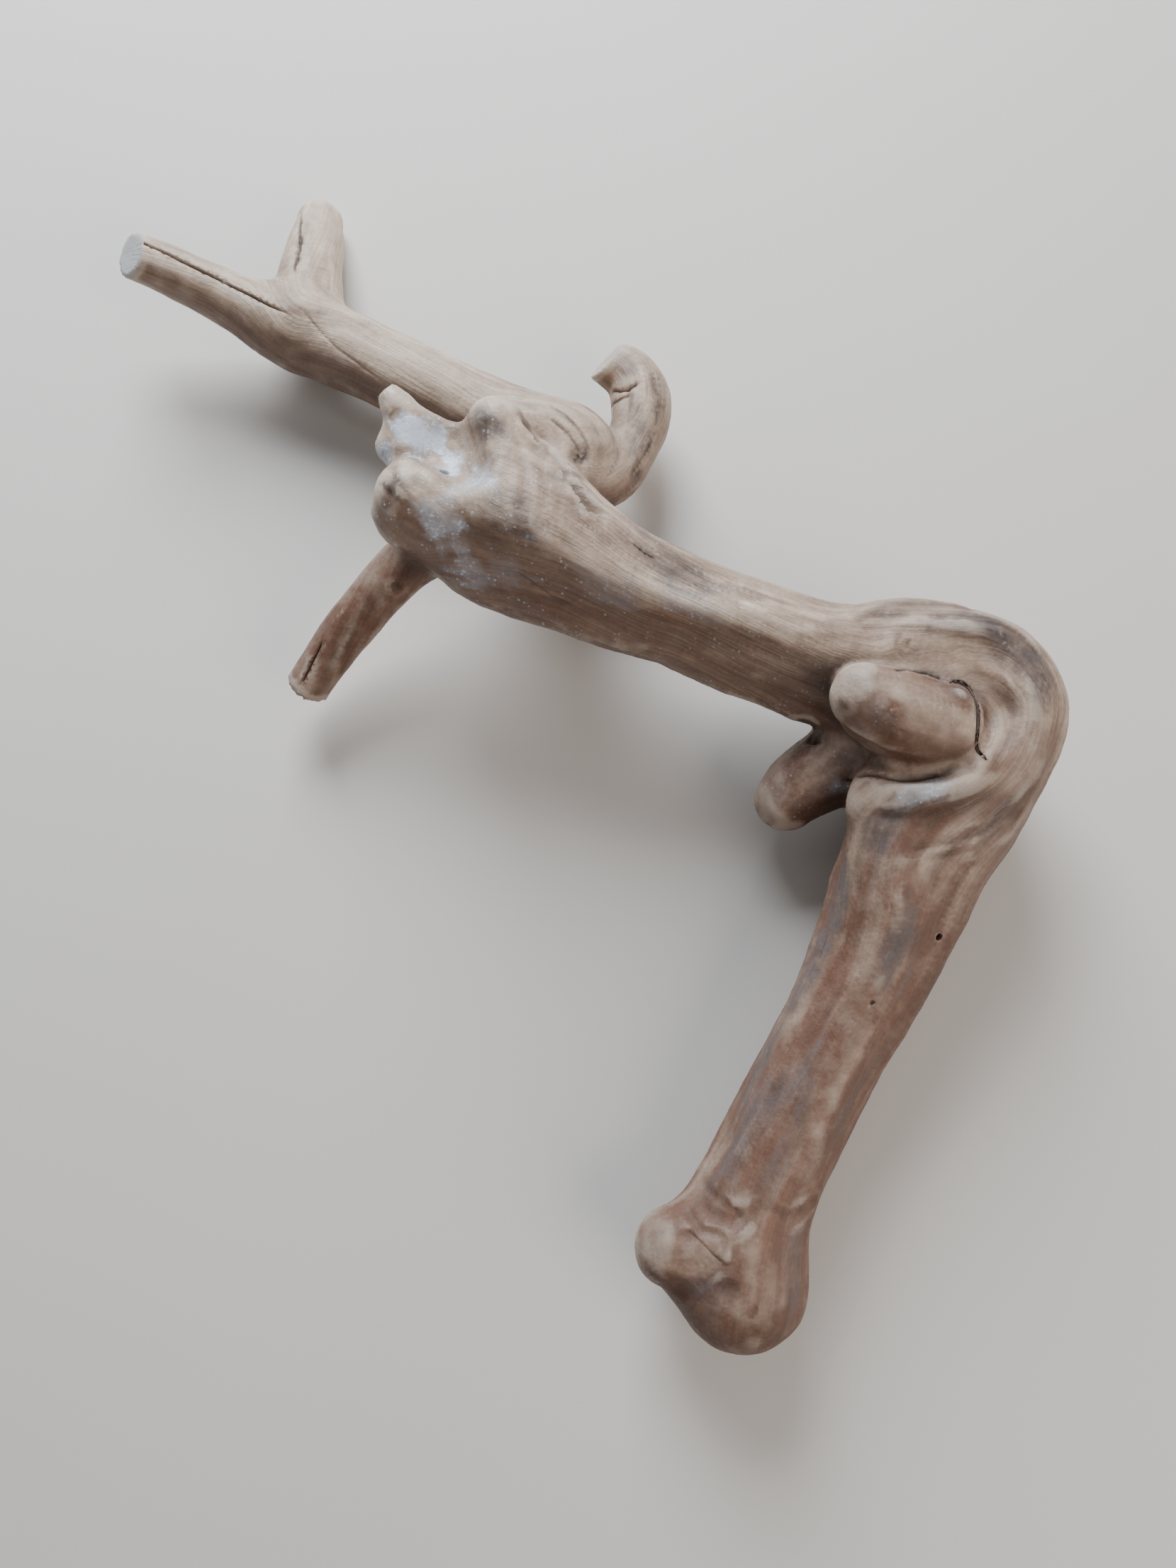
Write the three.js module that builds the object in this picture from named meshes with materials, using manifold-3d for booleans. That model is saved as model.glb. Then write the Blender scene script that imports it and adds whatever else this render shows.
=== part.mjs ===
// A dry, weathered root, grown as one piece: a bulbed leg, a burled elbow with an overgrown
// stub in it, an arm that ends in a horned head, and thin branches behind the head.
// It lies on its back on three low flat spots. Millimetres, +Z up, floor at Z = 0.

import * as THREE from "three";
import { mergeVertices } from "three/addons/utils/BufferGeometryUtils.js";
import Module from "manifold-3d";

const wasm = await Module();
wasm.setup();

// Driving dimensions

const MESH_STEP = 9.2; // spacing of the surface mesh
const STATION_STEPS = 6; // straight pieces between two stations of a limb
const RIDGE_ROUNDING = 5; // rounding of the ridge beside a flat of a limb
const WOOD_COLOUR = 0xb59a7c;
const WOOD_ROUGHNESS = 0.62;

// Limbs: rows of stations [x, y, z, radius] from root to tip. Each grows out of what
// came before it with a fillet. A limb can be flattened on one side, at a share of its
// radius from its axis, and can have long flutes that wind round it, as a count, a depth
// and the turns that they make in a metre.

const LIMBS = [
  {
    name: "leg",
    fillet: 20,
    flutes: { count: 5, depth: 1.6, turns: 0.9 },
    stations: [
      [205, -24, 54, 44],
      [195, -54, 53, 42],
      [181, -84, 51, 39],
      [166, -115, 49, 36],
      [145, -152, 46, 34],
      [124, -193, 43, 34],
      [106, -229, 40, 35],
      [95, -256, 39, 37],
      [91, -271, 38, 39],
      [90, -292, 37, 39],
    ],
  },
  {
    name: "bulb lobe",
    fillet: 14,
    stations: [
      [73, -274, 42, 30],
      [63, -272, 45, 28],
      [50, -270, 48, 23],
    ],
  },
  {
    name: "elbow core",
    fillet: 24,
    stations: [
      [208, 48, 51, 50],
      [222, 30, 48, 50],
      [222, 0, 50, 46],
    ],
  },
  {
    name: "arm",
    fillet: 24,
    flat: { facing: [-0.26, -0.74, 0.62], at: 0.81 },
    flutes: { count: 6, depth: 1.2, turns: 0.7 },
    stations: [
      [186, 62, 66, 40],
      [151, 69, 70, 37],
      [120, 79, 74, 35],
      [86, 90, 78, 34],
      [51, 103, 82, 34],
      [17, 115, 88, 38],
      [-12, 130, 92, 42],
      [-42, 147, 94, 45],
    ],
  },
  {
    name: "head",
    fillet: 18,
    flat: { facing: [-0.26, -0.74, 0.62], at: 0.83 },
    stations: [
      [-42, 148, 94, 44],
      [-62, 154, 95, 43],
      [-82, 162, 96, 38],
    ],
  },
  {
    name: "wrapping strand",
    fillet: 11,
    flutes: { count: 4, depth: 1.8, turns: 2.5 },
    stations: [
      [150, 77, 80, 24],
      [182, 83, 84, 23],
      [217, 81, 86, 23],
      [246, 67, 84, 23],
      [259, 40, 82, 23],
      [250, 10, 80, 23],
      [231, -17, 74, 24],
      [209, -44, 66, 26],
    ],
  },
  {
    name: "shoulder of the leg",
    fillet: 14,
    stations: [
      [176, -70, 66, 26],
      [175, -35, 76, 22],
      [179, -4, 84, 20],
    ],
  },
  {
    name: "collar fold",
    fillet: 12,
    stations: [
      [168, -14, 82, 15],
      [187, -11, 92, 16],
      [214, -5, 92, 18],
      [238, 11, 86, 20],
    ],
  },
  {
    name: "second fold",
    fillet: 8,
    stations: [
      [182, -45, 84, 12],
      [212, -37, 84, 13],
      [240, -18, 78, 14],
    ],
  },
  {
    name: "pointed horn",
    fillet: 10,
    stations: [
      [-86, 184, 104, 24],
      [-103, 202, 110, 16],
      [-112, 215, 117, 10],
      [-118, 223, 120, 6.5],
    ],
  },
  {
    name: "bump below the pointed horn",
    fillet: 8,
    stations: [
      [-104, 190, 108, 15],
      [-114, 194, 110, 11],
    ],
  },
  {
    name: "upper horn",
    fillet: 18,
    stations: [
      [-40, 163, 98, 30],
      [-47, 180, 109, 25],
      [-51, 193, 117, 20],
      [-54, 201, 122, 17],
    ],
  },
  {
    name: "lower horn",
    fillet: 12,
    stations: [
      [-80, 157, 104, 26],
      [-96, 157, 114, 22],
      [-105, 159, 121, 18],
    ],
  },
  {
    name: "lobe of the lower horn",
    fillet: 6,
    stations: [
      [-110, 148, 108, 14],
      [-115, 152, 112, 11],
    ],
  },
  {
    name: "broken crest",
    fillet: 6,
    stations: [
      [-40, 192, 102, 13],
      [-28, 177, 102, 12],
      [-18, 157, 100, 12],
      [2, 139, 96, 13],
    ],
  },
  {
    name: "back branch",
    fillet: 12,
    stations: [
      [-322, 353, 78, 14],
      [-295, 344, 70, 14.5],
      [-261, 334, 57, 16],
      [-229, 322, 47, 19],
      [-202, 311, 41, 24],
      [-173, 300, 38, 25],
      [-136, 283, 38, 25],
      [-98, 263, 40, 25],
      [-60, 244, 44, 24],
      [-27, 231, 50, 23],
      [-9, 221, 52, 22],
      [-3, 207, 55, 19],
    ],
  },
  {
    name: "knuckle of the back branch",
    fillet: 6,
    stations: [
      [-44, 233, 58, 19],
      [-20, 226, 62, 20],
      [-2, 213, 60, 20],
      [1, 198, 54, 17],
    ],
  },
  {
    name: "hub behind the head",
    fillet: 18,
    stations: [
      [-16, 212, 54, 22],
      [-26, 180, 66, 26],
      [-45, 157, 80, 28],
    ],
  },
  {
    name: "fork stub",
    fillet: 14,
    stations: [
      [-188, 316, 36, 25],
      [-188, 356, 30, 21],
      [-187, 381, 22, 19],
      [-187, 403, 14, 16],
    ],
  },
  {
    name: "curl",
    fillet: 7,
    stations: [
      [-14, 190, 62, 21],
      [13, 201, 48, 18],
      [29, 227, 42, 17.5],
      [35, 254, 40, 20],
      [29, 273, 40, 18],
      [15, 283, 42, 15],
      [-2, 292, 44, 13],
    ],
  },
  {
    name: "lower stub",
    fillet: 8,
    stations: [
      [-82, 156, 78, 22],
      [-114, 138, 62, 17],
      [-135, 120, 52, 16],
      [-156, 97, 42, 15],
      [-177, 71, 32, 14],
      [-192, 48, 24, 14],
    ],
  },
  {
    name: "elbow stub",
    fillet: 8,
    flat: { facing: [0.32, 0.1, 0.94], at: 0.68 },
    stations: [
      [180, 31, 50, 31],
      [155, 15, 44, 26],
      [131, 1, 40, 22],
      [124, -6, 38, 20],
    ],
  },
  {
    name: "overgrown stub",
    fillet: 4,
    stations: [
      [203, 29, 91, 28],
      [188, 31, 97, 28],
      [170, 37, 105, 24.5],
      [157, 43, 110, 19],
    ],
  },
];

// Hollows that the weather or the growth left, as limbs of air, each with its rounding.

const HOLLOWS = [
  {
    name: "saddle between the horns",
    fillet: 10,
    stations: [
      [-94, 203, 138, 12],
      [-84, 189, 131, 16],
      [-71, 171, 137, 13],
    ],
  },
  {
    name: "groove over the overgrown stub",
    fillet: 4,
    stations: [
      [154, 66, 114, 4],
      [180, 66, 118, 4],
      [204, 58, 116, 4],
    ],
  },
  {
    name: "groove under the overgrown stub",
    fillet: 4,
    stations: [
      [146, 20, 104, 5],
      [166, 6, 108, 5],
      [192, -1, 110, 5],
      [214, 3, 110, 4],
    ],
  },
  {
    name: "hole beside the elbow stub",
    fillet: 4,
    stations: [
      [131, 34, 66, 5],
      [142, 28, 56, 5],
    ],
  },
];

// The crack between the overgrown stub and the wood that grew round it.

const CRACK_LINE = [
  [207, 51],
  [214, 52],
  [220, 48],
  [222, 38],
  [221, 26],
  [221, 14],
  [226, 6],
];
const CRACK_WIDTH = 3.2;
const CRACK_FLOOR = 82; // height of the bottom of the crack
const CRACK_DEPTH = 60;

// Sawn ends: a point of the cut and the way it faces.

const SAWN_ENDS = [
  { at: [-295, 344, 70], facing: [-0.67, 0.02, 0.74] },
  { at: [11, 285, 42], facing: [-0.72, 0.55, 0.42] },
  { at: [-180, 66, 31], facing: [-0.55, -0.62, -0.56] },
];
const SAW_BLOCK = 60; // side of the block that a sawn end takes away

// Limb curves

/** The round pieces of a limb: straight axes with a radius at each end. */
function limbPieces({ stations }) {
  const axis = new THREE.CatmullRomCurve3(
    stations.map(([x, y, z]) => new THREE.Vector3(x, y, z)),
  );
  const girth = new THREE.SplineCurve(
    stations.map(([, , , r], i) => new THREE.Vector2(i, r)),
  );
  const count = (stations.length - 1) * STATION_STEPS;
  const points = axis.getPoints(count);
  const radii = girth.getPoints(count).map((p) => p.y);
  let reached = 0;
  return points.slice(1).map((end, i) => {
    const along = end.clone().sub(points[i]);
    const ahead = along.clone().normalize();
    const top = new THREE.Vector3(0, 0, 1).addScaledVector(ahead, -ahead.z).normalize();
    const side = ahead.clone().cross(top);
    const piece = { start: points[i], along, top, side, reached };
    reached += along.length();
    return { ...piece, startRadius: radii[i], endRadius: radii[i + 1] };
  });
}

const offset = new THREE.Vector3();

/** Distance from a point to the surface of a limb, negative inside it. */
function limbDistance({ pieces, length, flat, flutes }, point) {
  let nearest = Infinity;
  for (const piece of pieces) {
    const { start, along, startRadius, endRadius } = piece;
    offset.copy(point).sub(start);
    const share = THREE.MathUtils.clamp(offset.dot(along) / along.lengthSq(), 0, 1);
    const radius = THREE.MathUtils.lerp(startRadius, endRadius, share);
    offset.addScaledVector(along, -share);
    let distance = offset.length() - radius;
    if (distance > nearest + RIDGE_ROUNDING) continue;
    if (flat) {
      const flatDistance = offset.dot(flat.facing) - radius * flat.at;
      distance = -fillet(-distance, -flatDistance, RIDGE_ROUNDING);
    }
    if (flutes) {
      const turned = Math.atan2(offset.dot(piece.side), offset.dot(piece.top));
      const reached = piece.reached + share * along.length();
      const turns = (flutes.turns * reached) / 1000;
      const phase = flutes.count * (turned + 2 * Math.PI * turns);
      const fade = Math.min(reached, length - reached, radius) / radius;
      distance += flutes.depth * Math.cos(phase) * fade * Math.min(offset.length() / radius, 1);
    }
    nearest = Math.min(nearest, distance);
  }
  return nearest;
}

/** The lower of two distances, with a fillet where they are alike. */
function fillet(a, b, radius) {
  const near = Math.max(radius - Math.abs(a - b), 0) / radius;
  return Math.min(a, b) - (near * near * radius) / 4;
}

/** A limb made ready to be measured, with the box that it lies in. */
function readyLimb(limb) {
  const pieces = limbPieces(limb);
  const box = new THREE.Box3();
  for (const { start, along, startRadius, endRadius } of pieces) {
    const end = start.clone().add(along);
    box.union(new THREE.Box3(start.clone(), start.clone()).expandByScalar(startRadius));
    box.union(new THREE.Box3(end, end.clone()).expandByScalar(endRadius));
  }
  if (limb.flutes) box.expandByScalar(limb.flutes.depth);
  const flat = limb.flat && {
    facing: new THREE.Vector3(...limb.flat.facing).normalize(),
    at: limb.flat.at,
  };
  const last = pieces.at(-1);
  const length = last.reached + last.along.length();
  return { pieces, length, box, flat, flutes: limb.flutes, fillet: limb.fillet };
}

const grownLimbs = LIMBS.map(readyLimb);
const hollows = HOLLOWS.map(readyLimb);

/** Distance from a point to the root's surface, negative in the wood. */
function rootDistance(point) {
  let distance = Infinity;
  for (const limb of grownLimbs) {
    if (limb.box.distanceToPoint(point) > distance + limb.fillet) continue;
    const toLimb = limbDistance(limb, point);
    distance = distance === Infinity ? toLimb : fillet(distance, toLimb, limb.fillet);
  }
  for (const hollow of hollows) {
    if (hollow.box.distanceToPoint(point) > hollow.fillet - distance) continue;
    distance = -fillet(-distance, limbDistance(hollow, point), hollow.fillet);
  }
  return distance;
}

// Surface mesh

/** A closed mesh of the surface where the distance is zero, by surface nets. */
function surfaceMesh(distanceAt, box, step) {
  const size = box.getSize(new THREE.Vector3());
  const [nx, ny, nz] = size.toArray().map((length) => Math.ceil(length / step) + 3);
  const cornerOf = (i, j, k) =>
    new THREE.Vector3(i - 1, j - 1, k - 1).multiplyScalar(step).add(box.min);
  const index = (i, j, k) => (k * ny + j) * nx + i;
  const values = new Float64Array(nx * ny * nz);
  for (let k = 0; k < nz; k++)
    for (let j = 0; j < ny; j++)
      for (let i = 0; i < nx; i++) values[index(i, j, k)] = distanceAt(cornerOf(i, j, k));
  clearPinches(values, [1, nx, nx * ny]);

  const corners = [0, 1, 2, 3, 4, 5, 6, 7].map((c) => [c & 1, (c >> 1) & 1, (c >> 2) & 1]);
  const edges = [];
  for (let a = 0; a < corners.length; a++)
    for (const bit of [1, 2, 4]) if (!(a & bit)) edges.push([a, a | bit]);

  const vertices = [];
  const vertexOf = new Map();
  for (let k = 0; k < nz - 1; k++)
    for (let j = 0; j < ny - 1; j++)
      for (let i = 0; i < nx - 1; i++) {
        const value = corners.map(([a, b, c]) => values[index(i + a, j + b, k + c)]);
        const mean = new THREE.Vector3();
        let crossings = 0;
        for (const [a, b] of edges) {
          if (value[a] < 0 === value[b] < 0) continue;
          const [start, end] = [a, b].map((c) =>
            cornerOf(i + corners[c][0], j + corners[c][1], k + corners[c][2]),
          );
          mean.add(start.lerp(end, value[a] / (value[a] - value[b])));
          crossings++;
        }
        if (!crossings) continue;
        vertexOf.set(index(i, j, k), vertices.length);
        vertices.push(settle(mean.divideScalar(crossings), distanceAt, step));
      }

  const triangles = [];
  const addQuad = (ids, inward) => {
    const [a, b, c, d] = ids.map((id) => vertexOf.get(id));
    const shorter = vertices[a].distanceTo(vertices[c]) <= vertices[b].distanceTo(vertices[d]);
    const halves = shorter ? [[a, b, c], [a, c, d]] : [[a, b, d], [b, c, d]];
    for (const half of halves) triangles.push(...(inward ? half.reverse() : half));
  };
  for (let k = 1; k < nz - 1; k++)
    for (let j = 1; j < ny - 1; j++)
      for (let i = 1; i < nx - 1; i++) {
        const inside = values[index(i, j, k)] < 0;
        const ring = {
          x: [[0, 0, 0], [0, -1, 0], [0, -1, -1], [0, 0, -1]],
          y: [[0, 0, 0], [0, 0, -1], [-1, 0, -1], [-1, 0, 0]],
          z: [[0, 0, 0], [-1, 0, 0], [-1, -1, 0], [0, -1, 0]],
        };
        const next = {
          x: index(i + 1, j, k),
          y: index(i, j + 1, k),
          z: index(i, j, k + 1),
        };
        for (const way of ["x", "y", "z"]) {
          if (inside === values[next[way]] < 0) continue;
          const ids = ring[way].map(([a, b, c]) => index(i + a, j + b, k + c));
          addQuad(ids, !inside);
        }
      }
  return { vertices, triangles };
}

/** Fills the weaker air corner of each square whose like corners touch only across it. */
function clearPinches(values, strides) {
  let filled = 1;
  while (filled) {
    filled = 0;
    for (let at = 0; at < values.length; at++)
      for (const [a, b] of [[0, 1], [0, 2], [1, 2]]) {
        const square = [at, at + strides[a], at + strides[a] + strides[b], at + strides[b]];
        if (square[2] >= values.length) continue;
        const [p, q, r, s] = square.map((corner) => values[corner] < 0);
        if (p !== r || q !== s || p === q) continue;
        const air = square.filter((corner) => values[corner] >= 0);
        const weaker = values[air[0]] < values[air[1]] ? air[0] : air[1];
        values[weaker] = -0.01;
        filled++;
      }
  }
}

/** Moves a point onto the surface along the slope of the distance. */
function settle(point, distanceAt, step) {
  const probe = step * 0.05;
  for (let round = 0; round < 3; round++) {
    const here = distanceAt(point);
    const slope = new THREE.Vector3(
      distanceAt(new THREE.Vector3(point.x + probe, point.y, point.z)) - here,
      distanceAt(new THREE.Vector3(point.x, point.y + probe, point.z)) - here,
      distanceAt(new THREE.Vector3(point.x, point.y, point.z + probe)) - here,
    ).divideScalar(probe);
    const move = THREE.MathUtils.clamp(here / Math.max(slope.lengthSq(), 0.2), -step / 3, step / 3);
    point.addScaledVector(slope, -move);
  }
  return point;
}

// Solids

function solidFromMesh({ vertices, triangles }) {
  return new wasm.Manifold(
    new wasm.Mesh({
      numProp: 3,
      vertProperties: new Float32Array(vertices.flatMap((v) => v.toArray())),
      triVerts: new Uint32Array(triangles),
    }),
  );
}

function solidFromGeometry(geometry) {
  const bare = geometry.clone();
  bare.deleteAttribute("normal");
  bare.deleteAttribute("uv");
  const merged = mergeVertices(bare, 1e-4);
  return new wasm.Manifold(
    new wasm.Mesh({
      numProp: 3,
      vertProperties: merged.getAttribute("position").array,
      triVerts: new Uint32Array(merged.index.array),
    }),
  );
}

function geometryFromSolid(solid) {
  const mesh = solid.getMesh();
  const geometry = new THREE.BufferGeometry();
  geometry.setAttribute("position", new THREE.BufferAttribute(mesh.vertProperties, 3));
  geometry.setIndex(new THREE.BufferAttribute(mesh.triVerts, 1));
  geometry.computeVertexNormals();
  return geometry;
}

/** The block of wood that a saw cut takes off an end. */
function sawBlock({ at, facing }) {
  const way = new THREE.Vector3(...facing).normalize();
  const turn = new THREE.Quaternion().setFromUnitVectors(new THREE.Vector3(0, 0, 1), way);
  const middle = new THREE.Vector3(...at).addScaledVector(way, SAW_BLOCK / 2);
  const block = new THREE.BoxGeometry(SAW_BLOCK, SAW_BLOCK, SAW_BLOCK);
  block.applyMatrix4(new THREE.Matrix4().compose(middle, turn, new THREE.Vector3(1, 1, 1)));
  return solidFromGeometry(block);
}

/** The thin slot of the crack, as a solid to take away. */
function crackSlot() {
  const line = new THREE.SplineCurve(CRACK_LINE.map(([x, y]) => new THREE.Vector2(x, y)));
  const steps = CRACK_LINE.length * 4;
  const half = (t) => (CRACK_WIDTH / 2) * (0.25 + 0.75 * Math.sin(Math.PI * t) ** 0.5);
  const sides = [1, -1].map((way) =>
    Array.from({ length: steps + 1 }, (_, i) => {
      const t = i / steps;
      const ahead = line.getTangent(t);
      const out = new THREE.Vector2(-ahead.y, ahead.x).multiplyScalar(way * half(t));
      return line.getPoint(t).add(out);
    }),
  );
  const outline = new THREE.Shape([...sides[0], ...sides[1].reverse()]);
  const slot = new THREE.ExtrudeGeometry(outline, { depth: CRACK_DEPTH, bevelEnabled: false });
  slot.translate(0, 0, CRACK_FLOOR);
  return solidFromGeometry(slot);
}

/** The ground below the three spots that the root rests on. */
function floorBlock(box) {
  const size = box.getSize(new THREE.Vector3());
  const block = new THREE.BoxGeometry(size.x * 2, size.y * 2, size.z);
  const middle = box.getCenter(new THREE.Vector3());
  block.translate(middle.x, middle.y, -size.z / 2);
  return solidFromGeometry(block);
}

const rootBox = new THREE.Box3();
for (const { box } of grownLimbs) rootBox.union(box);

let rootSolid = solidFromMesh(surfaceMesh(rootDistance, rootBox, MESH_STEP));
for (const end of SAWN_ENDS) rootSolid = rootSolid.subtract(sawBlock(end));
rootSolid = rootSolid.subtract(crackSlot());
rootSolid = rootSolid.subtract(floorBlock(rootBox));

const dryRoot = new THREE.Mesh(
  geometryFromSolid(rootSolid),
  new THREE.MeshStandardMaterial({
    color: WOOD_COLOUR,
    roughness: WOOD_ROUGHNESS,
    metalness: 0,
  }),
);
dryRoot.name = "dry_root";

// The origin is under the middle of the root's outline.
dryRoot.geometry.computeBoundingBox();
const middle = dryRoot.geometry.boundingBox.getCenter(new THREE.Vector3());
dryRoot.position.set(-middle.x, -middle.y, 0);

const part = new THREE.Group();
part.add(dryRoot);

export default part;
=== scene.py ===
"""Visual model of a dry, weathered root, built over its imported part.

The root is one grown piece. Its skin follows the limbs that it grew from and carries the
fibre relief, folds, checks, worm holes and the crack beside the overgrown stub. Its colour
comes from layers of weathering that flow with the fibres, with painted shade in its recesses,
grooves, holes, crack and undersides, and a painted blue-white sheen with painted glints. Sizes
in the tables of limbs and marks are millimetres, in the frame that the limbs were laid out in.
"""

import logging
import math
from dataclasses import dataclass
from enum import Enum

import bmesh
import bpy
import numpy as np
from mathutils import Matrix, Vector, kdtree, noise


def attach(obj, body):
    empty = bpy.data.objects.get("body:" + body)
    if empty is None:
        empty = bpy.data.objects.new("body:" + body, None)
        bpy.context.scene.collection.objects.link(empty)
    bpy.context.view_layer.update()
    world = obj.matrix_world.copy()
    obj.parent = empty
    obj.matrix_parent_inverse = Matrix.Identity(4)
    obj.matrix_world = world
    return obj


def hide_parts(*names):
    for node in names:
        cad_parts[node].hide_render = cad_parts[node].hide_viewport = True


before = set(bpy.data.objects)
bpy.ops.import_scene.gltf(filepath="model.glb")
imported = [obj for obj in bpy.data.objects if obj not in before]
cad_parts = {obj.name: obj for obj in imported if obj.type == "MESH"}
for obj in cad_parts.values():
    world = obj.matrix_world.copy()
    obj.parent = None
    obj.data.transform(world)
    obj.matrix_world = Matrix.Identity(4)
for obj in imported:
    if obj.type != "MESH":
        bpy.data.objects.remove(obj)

logging.basicConfig(level=logging.INFO, format="%(message)s")
LOG = logging.getLogger("dry_root")

NODE = "dry_root"

MM = 0.001
LAYOUT_MIDDLE = np.array([-12.0, 43.58, 0.0])
SKIN_STEP = 2.35
FAR = 1000.0
TINY = 1e-9
RIDGE_ROUNDING = 5.0
STATION_STEPS = 6
LEAST_KNOT = 1e-4
READ_BATCH = 20000
METRE = 1000

Station = tuple[float, float, float, float]
Triple = tuple[float, float, float]
Pair = tuple[float, float]


@dataclass(frozen=True)
class Flat:
    """A side of a limb that is flattened, at a share of the radius from the axis."""

    facing: Triple
    at: float


@dataclass(frozen=True)
class Flutes:
    """Long shallow flutes that wind round a limb; turns are counted in a metre."""

    count: int
    depth: float
    turns: float


@dataclass(frozen=True)
class Limb:
    """One grown limb, or a limb of air for a hollow, from its root to its tip."""

    name: str
    fillet: float
    stations: tuple[Station, ...]
    flat: Flat | None = None
    flutes: Flutes | None = None


@dataclass(frozen=True)
class Tone:
    """How a limb weathered: brown warmth, grey weathering, waxy gloss and open grain."""

    warmth: float
    grey: float
    wax: float
    grain: float


@dataclass(frozen=True)
class SawnEnd:
    """A flat end that a saw left, at a point and facing one way; a fresh cut is paler."""

    at: Triple
    facing: Triple
    fresh: float


@dataclass(frozen=True)
class Furrow:
    """A line pressed or split into the skin, seen from above."""

    line: tuple[Pair, ...]
    width: float
    depth: float
    # How strong the painted shade in the line is.
    dark: float


@dataclass(frozen=True)
class Spot:
    """A round pit or bump of the skin, seen from above; a bump has a negative depth."""

    at: Triple
    radius: float
    depth: float
    # How strong the painted shade in the pit is.
    dark: float


@dataclass(frozen=True)
class Scar:
    """A round scar that a shallow ring surrounds."""

    at: Triple
    radius: float
    depth: float
    # How strong the painted shade in the ring is.
    dark: float


@dataclass(frozen=True)
class Ledge:
    """A torn edge, seen from above: the skin drops on the left of its line."""

    line: tuple[Pair, ...]
    drop: float
    reach: float


class Stain(Enum):
    """What a patch of the skin is stained with; one kind is a painted sheen, and some dark patches
    are painted shade.
    """

    PALE = "bare pale wood"
    RUST = "red brown"
    ASH = "weathered grey"
    # Dark rot; a few of its patches are painted shade behind the broken crest.
    SOOT = "dark rot"
    # Painted sheen: the blue-white reflection of a cool light, painted into the colour.
    FROST = "blue white wax"


@dataclass(frozen=True)
class Patch:
    """A soft patch of stain or of painted sheen, drawn out along the fibres; a few dark patches are
    painted shade.
    """

    stain: Stain
    at: Triple
    radius: float
    stretch: float
    strength: float


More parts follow.
